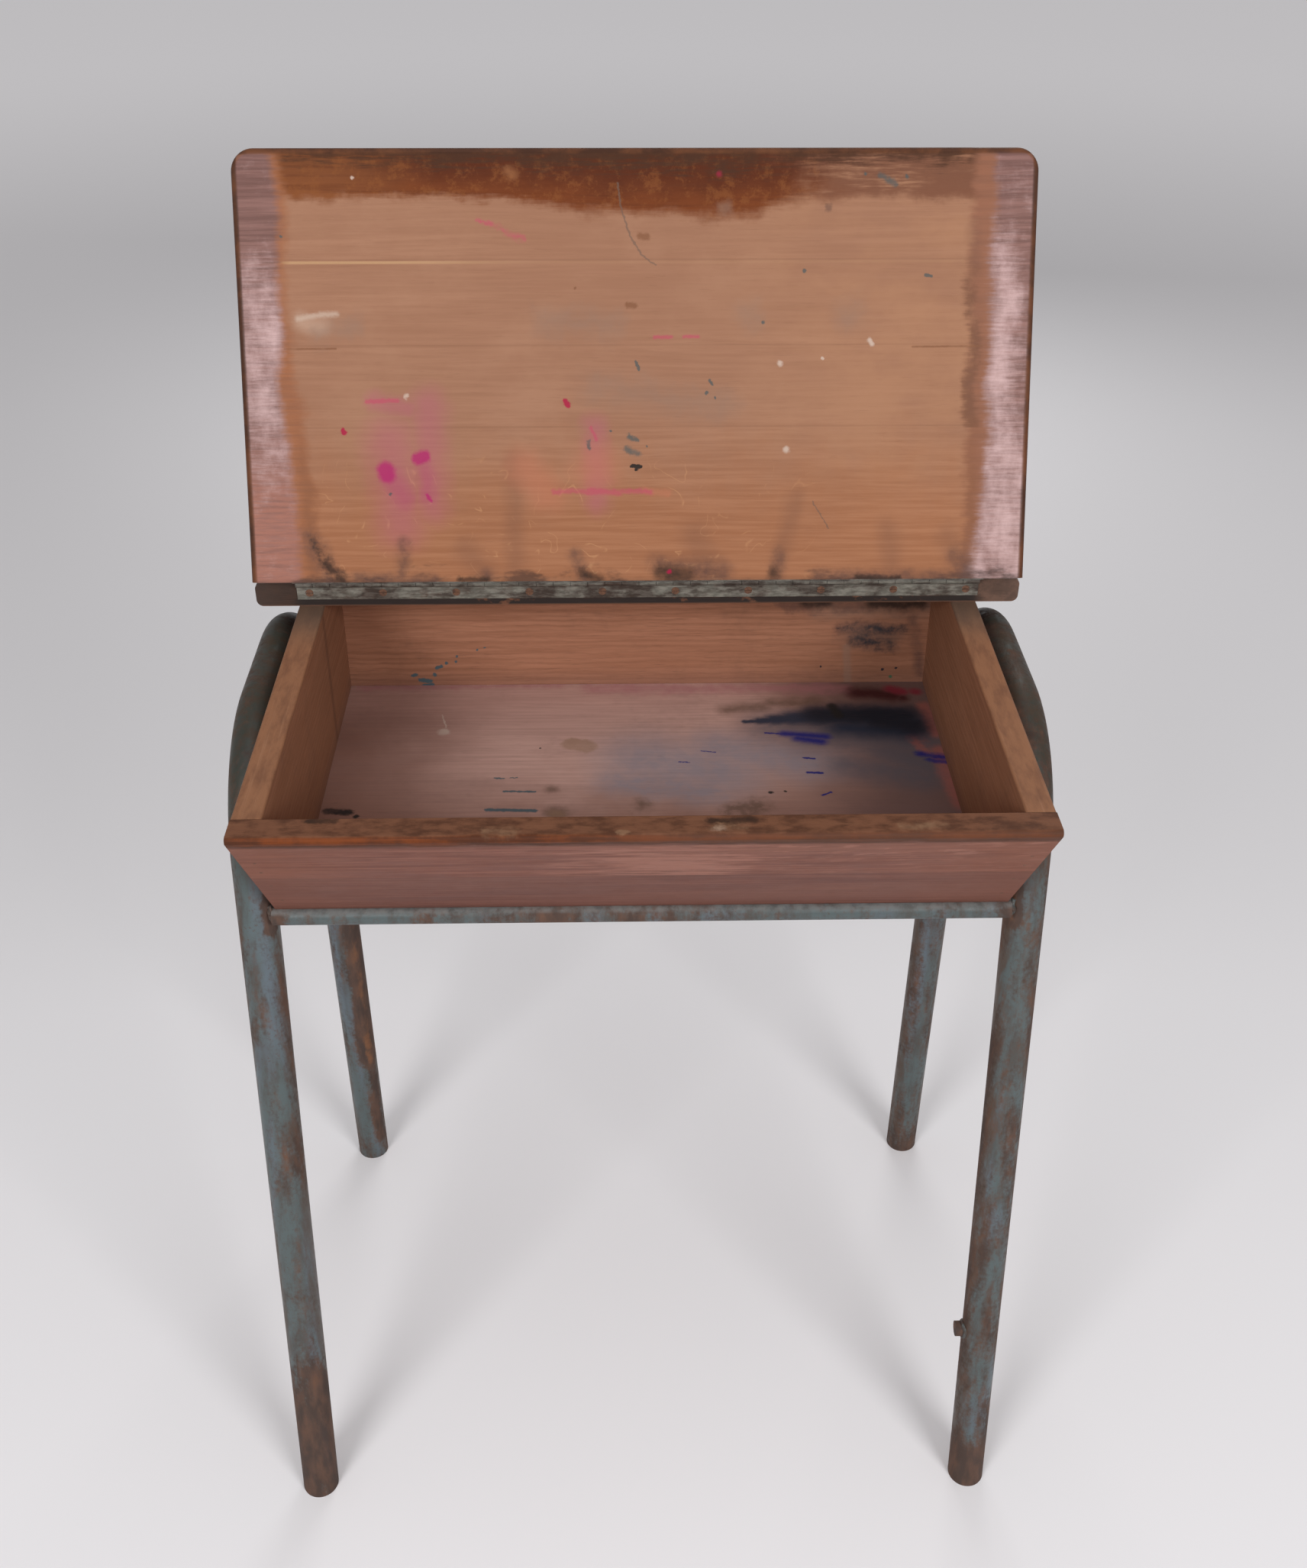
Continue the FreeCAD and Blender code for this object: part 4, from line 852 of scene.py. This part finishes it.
def hinge_board_material(wood):
    """The fixed board at the back: whole varnish, greyed at the ends, with a nearly black foot at the front,
    dark stain with painted shade under the hinge.
    """
    g = Finish("hinge_board_wood_finish", 0.25)
    place = g.place
    x, y, z = place.parts()
    streak, pore, _ = grain(g, place, 7.0)
    blotch = place.noise(64.0, 5.0, 0.64)
    colour = g.mix(streak.step(0.32, 0.70), (0.090, 0.040, 0.029), wood.varnish)
    colour = g.mix(place.noise(10.0, 5.0, 0.6).step(0.50, 0.66) * 0.55, colour, wood.varnish_worn)
    colour = g.mix(grime(g, place, 0.0)[0] * 0.45, colour, (0.045, 0.026, 0.022))
    # Front edge: olive-brown at the ends, lighter at the right, nearly black below the hinge but for chips;
    # the black is dark stain with painted shade under the leaf
    ends = g.mix(x.step(-0.05, 0.10), (0.056, 0.031, 0.022), (0.140, 0.078, 0.055))
    ends = g.mix(blotch.step(0.40, 0.62), g.mix(0.5, ends, (0.040, 0.026, 0.020)), ends)
    foot = (z + blotch * 0.004).step(RIM_Z + 0.0092, RIM_Z + 0.0066)
    foot = foot * abs(x).step(HINGE_HALF_WIDTH + 0.008, HINGE_HALF_WIDTH - 0.004)
    chips = place.noise((38.0, 20.0, 60.0), 4.0, 0.6).step(0.60, 0.68)
    black = g.mix(chips * 0.75, (0.026, 0.019, 0.017), (0.185, 0.078, 0.044))
    front_edge = y.step(HINGE_BOARD_FRONT + 0.0049, HINGE_BOARD_FRONT + 0.0019)
    colour = g.mix(front_edge, colour, g.mix(foot, ends, black))
    colour = g.mix(z.step(RIM_Z + 0.0012, RIM_Z + 0.0002) * 0.7, colour, (0.150, 0.070, 0.042))
    colour = g.mix(pore * 0.4, colour, (0.040, 0.020, 0.016))
    return g.coat(colour, 0.44 + blotch * 0.2, streak * 0.5 - pore, 0.25, 0.0006)


def tube_material(name, metal, rust_places, base_amount, top_wear=0.0, side_brown=0.0, highlight_above=None):
    """Grey-green paint over steel, dulled brown in long streaks, with more rust near the given places.
    A rust place is (from, to, width, amount). Top wear darkens the upper bends, side brown browns the legs'
    sides, and a patchy painted highlight runs pale along the top above a height where one is given."""
    g = Finish(name, 0.35)
    place = g.place
    x, _, z = place.parts()
    amount = g.math("ADD", metal.rust, base_amount)
    for start, end, width, extra in rust_places:
        amount = amount + marks_mask(g, place, [(start, end, width, "blot", 1.0)], (1.0, 1.0, 1.0)) * extra
    rusted, rust_tint, height = rust(g, place, amount)
    rubbed = place.noise((90.0, 90.0, 20.0), 6.0, 0.66)
    bright = place.noise((44.0, 44.0, 6.0), 3.0)
    paint = g.mix(rubbed.step(0.40, 0.66), metal.paint, metal.paint_dark)
    paint = g.mix(bright.step(0.50, 0.70, 0.0, 0.70), paint, metal.paint_pale)
    paint = g.mix(place.noise(400.0, 4.0, 0.64).step(0.56, 0.70) * 0.62, paint, (0.074, 0.043, 0.031))
    # Brown along the outer and inner sides of the legs
    sides = (abs(abs(x) - FRAME_X) + (rubbed - 0.5) * 0.020).step(0.0085, 0.0140)
    paint = g.mix(sides * side_brown, paint, (0.076, 0.049, 0.033))
    worn = g.mix(rubbed.step(0.42, 0.60), (0.035, 0.033, 0.022), (0.052, 0.032, 0.017))
    top = (z + bright * 0.06).step(FRAME_TOP - 0.087, FRAME_TOP - 0.022)
    paint = g.mix(top * top_wear, paint, worn)
    colour = g.mix(rusted * 0.94, paint, rust_tint)
    # Painted highlight: a patchy pale line along the top
    if highlight_above:
        pale = z.step(highlight_above, highlight_above + 0.0024) * rubbed.step(0.62, 0.38, 0.20, 0.75)
        colour = g.mix(pale, colour, (0.176, 0.172, 0.166))
    rough = g.blend(rusted, rubbed.step(0.4, 0.7, 0.38, 0.52), 0.78)
    return g.coat(colour, rough, height * 0.8 + rubbed * 0.25, 0.30, 0.0005)


def hinge_material(metal):
    """Dull dark steel with patches of grey-green paint and a little rust."""
    g = Finish("hinge_steel_finish", 0.4)
    wear = g.place.noise((42.0, 70.0, 70.0), 5.0, 0.62)
    fine = g.place.noise((120.0, 420.0, 420.0), 4.0, 0.64)
    rusted, rust_tint, height = rust(g, g.place * (0.5, 1.0, 3.0), -0.02)
    paint = g.mix(fine.step(0.38, 0.64), (0.126, 0.119, 0.099), (0.225, 0.213, 0.180))
    bare = g.mix(fine.step(0.40, 0.62), (0.058, 0.042, 0.034), metal.steel)
    colour = g.mix(rusted * 0.8, g.mix(wear.step(0.40, 0.62), bare, paint), rust_tint)
    shine = wear.step(0.54, 0.44, 0.0, 0.30)
    return g.coat(colour, g.blend(rusted, 0.52, 0.82), height + wear, 0.25, 0.0005, shine)


def fastener_material():
    """Rusted steel screws and nails."""
    g = Finish("fastener_steel_finish", 0.4)
    tone = g.place.noise(330.0, 5.0, 0.64)
    colour = g.mix(tone.step(0.36, 0.64), (0.085, 0.042, 0.028), (0.180, 0.086, 0.050))
    colour = g.mix(tone.step(0.62, 0.76), colour, (0.200, 0.165, 0.140))
    shine = tone.step(0.50, 0.75, 0.1, 0.6)
    return g.coat(colour, tone.step(0.40, 0.75, 0.80, 0.50), tone, 0.4, 0.0004, shine)


def weld_material(metal):
    """Weld metal under worn paint: rusty with pale rubbed lumps."""
    g = Finish("weld_metal", 0.4)
    lumps = g.place.noise(240.0, 4.0, 0.6)
    rusted, rust_tint, _ = rust(g, g.place, 0.08)
    colour = g.mix(lumps.step(0.42, 0.58), metal.paint_dark, metal.paint)
    colour = g.mix(rusted * 0.85, colour, rust_tint)
    colour = g.mix(lumps.step(0.60, 0.72, 0.0, 0.7), colour, (0.360, 0.310, 0.270))
    return g.coat(colour, lumps.step(0.45, 0.70, 0.76, 0.50), lumps, 0.5, 0.0008)


def surface_object(name, grid, closed_along):
    """A mesh from a grid of points, shape (along, around, 3). Around always closes. Along closes if asked,
    and otherwise its first and last rows are single points, which are merged."""
    rows, columns, _ = grid.shape
    along = np.arange(rows if closed_along else rows - 1)[:, None]
    around = np.arange(columns)[None, :]
    beside = (around + 1) % columns
    row = along * columns
    next_row = (along + 1) % rows * columns
    corners = (row + around, row + beside, next_row + beside, next_row + around)
    faces = np.stack(np.broadcast_arrays(*corners), axis=-1).reshape(-1, 4)
    mesh = bpy.data.meshes.new(name)
    mesh.from_pydata(grid.reshape(-1, 3).tolist(), [], faces.tolist())
    shell = bmesh.new()
    shell.from_mesh(mesh)
    bmesh.ops.remove_doubles(shell, verts=shell.verts, dist=1e-7)
    bmesh.ops.recalc_face_normals(shell, faces=shell.faces)
    shell.to_mesh(mesh)
    shell.free()
    mesh.polygons.foreach_set("use_smooth", np.ones(len(mesh.polygons), dtype=bool))
    piece = bpy.data.objects.new(name, mesh)
    bpy.context.scene.collection.objects.link(piece)
    return piece


def ripple(u, v, seed):
    """Uneven weld surface: a sum of sines of the two angles, about 1, the same on each run."""
    return (
        1.0
        + 0.13 * np.sin(3 * u + seed) * np.cos(2 * v + 1.7 * seed)
        + 0.10 * np.sin(5 * u - 2 * v + 2.3 * seed)
        + 0.06 * np.sin(9 * u + 4 * v + 0.7 * seed))


def weld_lump(name, centre, radii, seed, rows=28, columns=40):
    """A lump: an ellipsoid about the centre whose radius is multiplied by the ripple."""
    u = np.linspace(0.0, np.pi, rows)[:, None]
    v = np.linspace(0.0, 2 * np.pi, columns, endpoint=False)[None, :]
    swell = ripple(u * np.sin(u), v, seed)
    swell = np.where((u < 1e-9) | (u > np.pi - 1e-9), 1.0, swell)
    unit = np.stack([np.sin(u) * np.cos(v), np.sin(u) * np.sin(v), np.cos(u) * np.ones_like(v)], axis=-1)
    return surface_object(name, np.array(centre) + unit * np.array(radii) * swell[..., None], False)


def bead(name, path, radius, seed, closed, columns=14):
    """A weld bead: a circle carried along a path, square to it, with its radius multiplied by the ripple.
    An open bead narrows to a point at each end as the square root of a half sine."""
    ahead = np.roll(path, -1, axis=0) - np.roll(path, 1, axis=0)
    if not closed:
        ahead[0] = path[1] - path[0]
        ahead[-1] = path[-1] - path[-2]
    ahead /= np.linalg.norm(ahead, axis=1, keepdims=True)
    middle = path.mean(axis=0)
    outward = path - middle
    outward -= (outward * ahead).sum(axis=1, keepdims=True) * ahead
    outward /= np.linalg.norm(outward, axis=1, keepdims=True)
    across = np.cross(ahead, outward)
    t = np.linspace(0.0, 1.0, len(path), endpoint=not closed)
    v = np.linspace(0.0, 2 * np.pi, columns, endpoint=False)[None, :]
    width = np.ones(len(path)) if closed else np.sqrt(np.clip(np.sin(np.pi * t), 0.0, 1.0))
    swell = ripple(2 * np.pi * t[:, None], v, seed) + 0.08 * np.sin(88 * t[:, None])
    size = radius * width[:, None] * swell
    ring = np.cos(v)[..., None] * outward[:, None, :] + np.sin(v)[..., None] * across[:, None, :]
    return surface_object(name, path[:, None, :] + ring * size[..., None], closed)


def saddle(side, bar_y, bar_z, bar_radius, foot_y, lean, start=0.0, end=2 * np.pi, count=72, closed=True):
    """The line where a level bar along X meets a leg: points round the bar, each moved along X to the leg's
    skin. A leg leans by an angle from a foot, and its skin is a tube's radius from its axis."""
    angle = np.linspace(start, end, count, endpoint=not closed)
    y = bar_y + bar_radius * np.cos(angle)
    z = bar_z + bar_radius * np.sin(angle)
    off = (y - foot_y - z * np.tan(lean)) * np.cos(lean)
    x = FRAME_X - np.sqrt(np.clip(TUBE_RADIUS**2 - off**2, 0.0, None))
    return np.stack([side * x, y, z], axis=-1)


def add_light(name, place, target, size, power):
    lamp = bpy.data.lights.new(name, "AREA")
    lamp.shape = "DISK"
    lamp.size = size
    lamp.energy = power
    light = bpy.data.objects.new(name, lamp)
    light.location = place
    light.rotation_euler = (Vector(target) - Vector(place)).to_track_quat("-Z", "Y").to_euler()
    bpy.context.scene.collection.objects.link(light)


class DESK_OT_lid(Operator):
    """Finish the four boards of the lid"""

    bl_idname = "desk.lid"
    bl_label = "Lid boards"

    def execute(self, context):
        edges = (0.0, *LID_SEAMS, LID_FRONT)
        for (name, board), near, far in zip(LID_BOARDS.items(), edges, edges[1:]):
            dress(lid_material(context.scene.desk_wood, f"{name}_finish", board, near, far), name)
        return {"FINISHED"}


class DESK_OT_front(Operator):
    """Finish the raked front boards"""

    bl_idname = "desk.front"
    bl_label = "Front boards"

    def execute(self, context):
        dress(front_material(context.scene.desk_wood), "front_upper_board", "front_lower_board")
        return {"FINISHED"}


class DESK_OT_box(Operator):
    """Finish the sides and the back of the box"""

    bl_idname = "desk.box"
    bl_label = "Sides and back"

    def execute(self, context):
        wood = context.scene.desk_wood

        def inside_side(x, y):
            faces = abs(x).step(BOX_HALF_WIDTH - 0.0005, BOX_HALF_WIDTH - 0.0030)
            return faces * y.step(BACK_Y + 0.0186, BACK_Y + 0.0170)

        def inside_back(x, y):
            return y.step(BACK_Y + 0.0180, BACK_Y + 0.0150)

        sides = box_wood_material("side_wood", wood, (0.0, 0.0, math.radians(90.0)), inside_side, {})
        dress(sides, "left_side_board", "right_side_board")
        dress(box_wood_material("back_wood", wood, (0.0, 0.0, 0.0), inside_back, BACK_MARKS), "back_board")
        return {"FINISHED"}


class DESK_OT_floor_panel(Operator):
    """Finish the floor of the box"""

    bl_idname = "desk.floor_panel"
    bl_label = "Floor panel"

    def execute(self, context):
        dress(floor_material(context.scene.desk_wood), "floor_panel")
        return {"FINISHED"}


class DESK_OT_hinge_board(Operator):
    """Finish the fixed board at the back of the rim"""

    bl_idname = "desk.hinge_board"
    bl_label = "Hinge board"

    def execute(self, context):
        dress(hinge_board_material(context.scene.desk_wood), "hinge_board")
        return {"FINISHED"}


class DESK_OT_frames(Operator):
    """Finish the tube frames, the rails and the stub"""

    bl_idname = "desk.frames"
    bl_label = "Frames and rails"

    def execute(self, context):
        metal = context.scene.desk_metal
        left, right = -FRAME_X, FRAME_X
        inner_left, inner_right = left + TUBE_RADIUS, right - TUBE_RADIUS
        left_rust = [
            ((left, -0.190, -0.010), (left, -0.178, 0.055), 0.135, 0.36),
            ((inner_left, -0.106, 0.550), (inner_left, -0.112, 0.530), 0.011, 0.70),
            ((left - 0.006, -0.112, 0.520), (left - 0.008, -0.122, 0.440), 0.016, 0.10),
            ((inner_left, 0.170, 0.140), (inner_left, 0.158, 0.560), 0.021, 0.62),
            ((inner_left, 0.176, 0.030), (inner_left, 0.168, 0.160), 0.015, 0.34),
            ((left, 0.188, -0.01), (left, 0.188, 0.016), 0.030, 0.12),
            ((inner_left, -0.140, 0.330), (inner_left, -0.112, 0.480), 0.016, 0.10),
            ((left - 0.014, -0.150, 0.200), (left - 0.014, -0.090, 0.600), 0.012, 0.10),
        ]
        right_rust = [
            ((right, -0.190, -0.010), (right, -0.186, 0.024), 0.044, 0.24),
            ((inner_right, -0.106, 0.556), (inner_right, -0.112, 0.530), 0.013, 0.66),
            ((inner_right, -0.158, 0.170), (inner_right, -0.168, 0.110), 0.018, 0.14),
            ((inner_right, -0.150, 0.200), (inner_right, -0.120, 0.420), 0.014, 0.10),
            ((inner_right, 0.170, 0.140), (inner_right, 0.156, 0.480), 0.013, 0.14),
            ((right, 0.188, -0.01), (right, 0.188, 0.016), 0.030, 0.12),
            ((right, 0.185, 0.080), (right, 0.170, 0.520), 0.030, -0.09),
            ((right + 0.012, -0.150, 0.200), (right + 0.012, -0.090, 0.600), 0.014, 0.10),
        ]
        dress(tube_material("left_tube_finish", metal, left_rust, -0.01, 0.85, 0.65), "left_side_frame")
        dress(tube_material("right_tube_finish", metal, right_rust, 0.06, 0.85, 0.90), "right_side_frame")
        low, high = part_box("front_rail")
        y, z = (low.y + high.y) / 2, (low.z + high.z) / 2
        rail_rust = [
            ((low.x - 0.006, y, z), (low.x + 0.003, y, z), 0.013, 0.50),
            ((high.x - 0.003, y, z), (high.x + 0.006, y, z), 0.013, 0.50),
            ((-0.150, y, z), (-0.060, y, z), 0.018, 0.08),
            ((-0.070, y, z), (0.040, y, z), 0.020, 0.18),
            ((0.249, -0.162, 0.153), (0.257, -0.162, 0.153), 0.016, 0.62),
        ]
        # The rails get a painted highlight along their top
        rails = tube_material("rail_finish", metal, rail_rust, 0.005, highlight_above=high.z - 0.0030)
        dress(rails, "front_rail", "rear_rail", "stretcher_stub")
        return {"FINISHED"}


class DESK_OT_welds(Operator):
    """Add the weld beads and lumps where the rails and the stub meet the legs"""

    bl_idname = "desk.welds"
    bl_label = "Welds"

    def execute(self, context):
        material = weld_material(context.scene.desk_metal)
        low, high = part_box("front_rail")
        rail_radius = (high.z - low.z) / 2
        rail_z = (high.z + low.z) / 2
        front_y = low.y + rail_radius
        rear_y = (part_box("rear_rail")[0].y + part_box("rear_rail")[1].y) / 2
        stub_low, stub_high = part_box("stretcher_stub")
        welds = []
        for side, word in ((-1, "left"), (1, "right")):
            path = saddle(side, rear_y, rail_z, rail_radius, *REAR_LEG)
            welds.append(bead(f"rear_{word}_weld", path, 0.0017, 1.3 * side + 4.0, True))
            arc = (math.radians(-62.0), math.radians(78.0))
            path = saddle(side, front_y, rail_z, rail_radius, *FRONT_LEG, *arc, 48, False)
            welds.append(bead(f"front_{word}_weld", path, 0.0026, 0.9 * side + 2.0, False))
            end = (side * (high.x + 0.0004), front_y + 0.0024, rail_z + 0.0006)
            radii = (0.0034, 0.0062, 0.0066)
            welds.append(weld_lump(f"front_{word}_weld_lump", end, radii, 1.7 * side + 6.0))
        stub_z = (stub_low.z + stub_high.z) / 2
        stub_y = (stub_low.y + stub_high.y) / 2
        path = saddle(1, stub_y, stub_z, (stub_high.z - stub_low.z) / 2, *FRONT_LEG)
        welds.append(bead("stub_weld", path, 0.0017, 3.1, True))
        for weld in welds:
            weld.data.materials.append(material)
            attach(weld, "desk")
        return {"FINISHED"}


class DESK_OT_hinge(Operator):
    """Finish the continuous hinge, the screws and the nails"""

    bl_idname = "desk.hinge"
    bl_label = "Hinge and fasteners"

    def execute(self, context):
        dress(hinge_material(context.scene.desk_metal), "hinge_fixed_leaf", "hinge_lid_leaf", "hinge_pin")
        screws = ("fixed_leaf_screws", "lid_leaf_screws", "hinge_board_screws", "frame_screws")
        dress(fastener_material(), *screws, "front_nails", "back_nails")
        return {"FINISHED"}


class DESK_OT_stage(Operator):
    """Add the floor, the lights, the world and the camera"""

    bl_idname = "desk.stage"
    bl_label = "Studio"

    def execute(self, context):
        stage = context.scene.desk_stage
        half = STUDIO_HALF_WIDTH
        corners = [(-half, -half, 0), (half, -half, 0), (half, half, 0), (-half, half, 0)]
        mesh = bpy.data.meshes.new("studio_floor")
        mesh.from_pydata(corners, [], [(0, 1, 2, 3)])
        ground = bpy.data.objects.new("studio_floor", mesh)
        context.scene.collection.objects.link(ground)
        g = Finish("studio_floor")
        g.feed(g.shader["Base Color"], stage.ground)
        g.feed(g.shader["Roughness"], 0.8)
        path = g.node("ShaderNodeLightPath").outputs
        seen = g.highest(*[g.carry(path[f"Is {ray} Ray"]) for ray in ("Camera", "Glossy", "Transmission")])
        far = g.place.length().step(1.2, 6.0, 0.0, stage.far_level)
        g.feed(g.shader["Emission Color"], g.mix(seen * far, BLACK, stage.ground))
        g.feed(g.shader["Emission Strength"], 1.0)
        mesh.materials.append(g.material)

        target = (0.0, 0.0, 0.60)
        add_light("key_left", (-1.25, -2.15, 1.85), target, 1.1, stage.key_power)
        add_light("key_right", (1.30, -2.10, 1.85), target, 1.1, stage.key_power)
        add_light("top", (0.0, -0.2, 2.9), (0.0, 0.0, 0.5), 2.0, stage.top_power)
        add_light("back", (0.3, 2.4, 1.7), target, 1.6, stage.back_power)

        world = bpy.data.worlds.new("studio")
        context.scene.world = world
        world.use_nodes = True
        sky = world.node_tree.nodes["Background"].inputs
        g = Graph(world.node_tree)
        seen = g.wire("ShaderNodeLightPath", {}, "Is Camera Ray")
        even = [stage.world_level * share for share in (1.0, 0.985, 1.0)]
        far = [(stage.far_level + stage.world_level) * share for share in stage.ground]
        g.feed(sky["Color"], g.mix(seen, even, far))
        g.feed(sky["Strength"], 1.0)

        # The camera's own axes, from its yaw, then its pitch, then its roll
        across = Vector((math.cos(CAMERA_YAW), math.sin(CAMERA_YAW), 0.0))
        ahead = Vector((-math.sin(CAMERA_YAW), math.cos(CAMERA_YAW), 0.0))
        up = Vector((0.0, 0.0, 1.0))
        forward = ahead * math.cos(CAMERA_PITCH) - up * math.sin(CAMERA_PITCH)
        down = -up * math.cos(CAMERA_PITCH) - ahead * math.sin(CAMERA_PITCH)
        right = across * math.cos(CAMERA_ROLL) - down * math.sin(CAMERA_ROLL)
        below = across * math.sin(CAMERA_ROLL) + down * math.cos(CAMERA_ROLL)
        lens = bpy.data.cameras.new("camera")
        lens.sensor_width = CAMERA_SENSOR
        lens.lens = CAMERA_LENS
        camera = bpy.data.objects.new("camera", lens)
        turn = Matrix((right, -below, -forward)).transposed().to_4x4()
        camera.matrix_world = Matrix.Translation(CAMERA_PLACE) @ turn
        context.scene.collection.objects.link(camera)
        context.scene.camera = camera
        context.scene.view_settings.view_transform = "Standard"
        return {"FINISHED"}


STEPS = (
    DESK_OT_lid, DESK_OT_front, DESK_OT_box, DESK_OT_floor_panel, DESK_OT_hinge_board, DESK_OT_frames,
    DESK_OT_welds, DESK_OT_hinge, DESK_OT_stage,
)


class DESK_PT_sidebar(Panel):
    """The desk's steps and settings"""

    bl_idname = "DESK_PT_sidebar"
    bl_label = "School desk"
    bl_space_type = "VIEW_3D"
    bl_region_type = "UI"
    bl_category = "Desk"

    def draw(self, context):
        for step in STEPS:
            self.layout.operator(step.bl_idname)
        for settings in (context.scene.desk_wood, context.scene.desk_metal, context.scene.desk_stage):
            box = self.layout.box()
            for name in settings.__annotations__:
                box.prop(settings, name)


CLASSES = (DeskWoodSettings, DeskMetalSettings, DeskStageSettings, *STEPS, DESK_PT_sidebar)


def register():
    for cls in CLASSES:
        bpy.utils.register_class(cls)
    bpy.types.Scene.desk_wood = PointerProperty(type=DeskWoodSettings)
    bpy.types.Scene.desk_metal = PointerProperty(type=DeskMetalSettings)
    bpy.types.Scene.desk_stage = PointerProperty(type=DeskStageSettings)


def unregister():
    del bpy.types.Scene.desk_wood, bpy.types.Scene.desk_metal, bpy.types.Scene.desk_stage
    for cls in reversed(CLASSES):
        bpy.utils.unregister_class(cls)


def main():
    register()
    bpy.ops.desk.lid()
    bpy.ops.desk.front()
    bpy.ops.desk.box()
    bpy.ops.desk.floor_panel()
    bpy.ops.desk.hinge_board()
    bpy.ops.desk.frames()
    bpy.ops.desk.welds()
    bpy.ops.desk.hinge()
    bpy.ops.desk.stage()


if __name__ == "__main__":
    main()
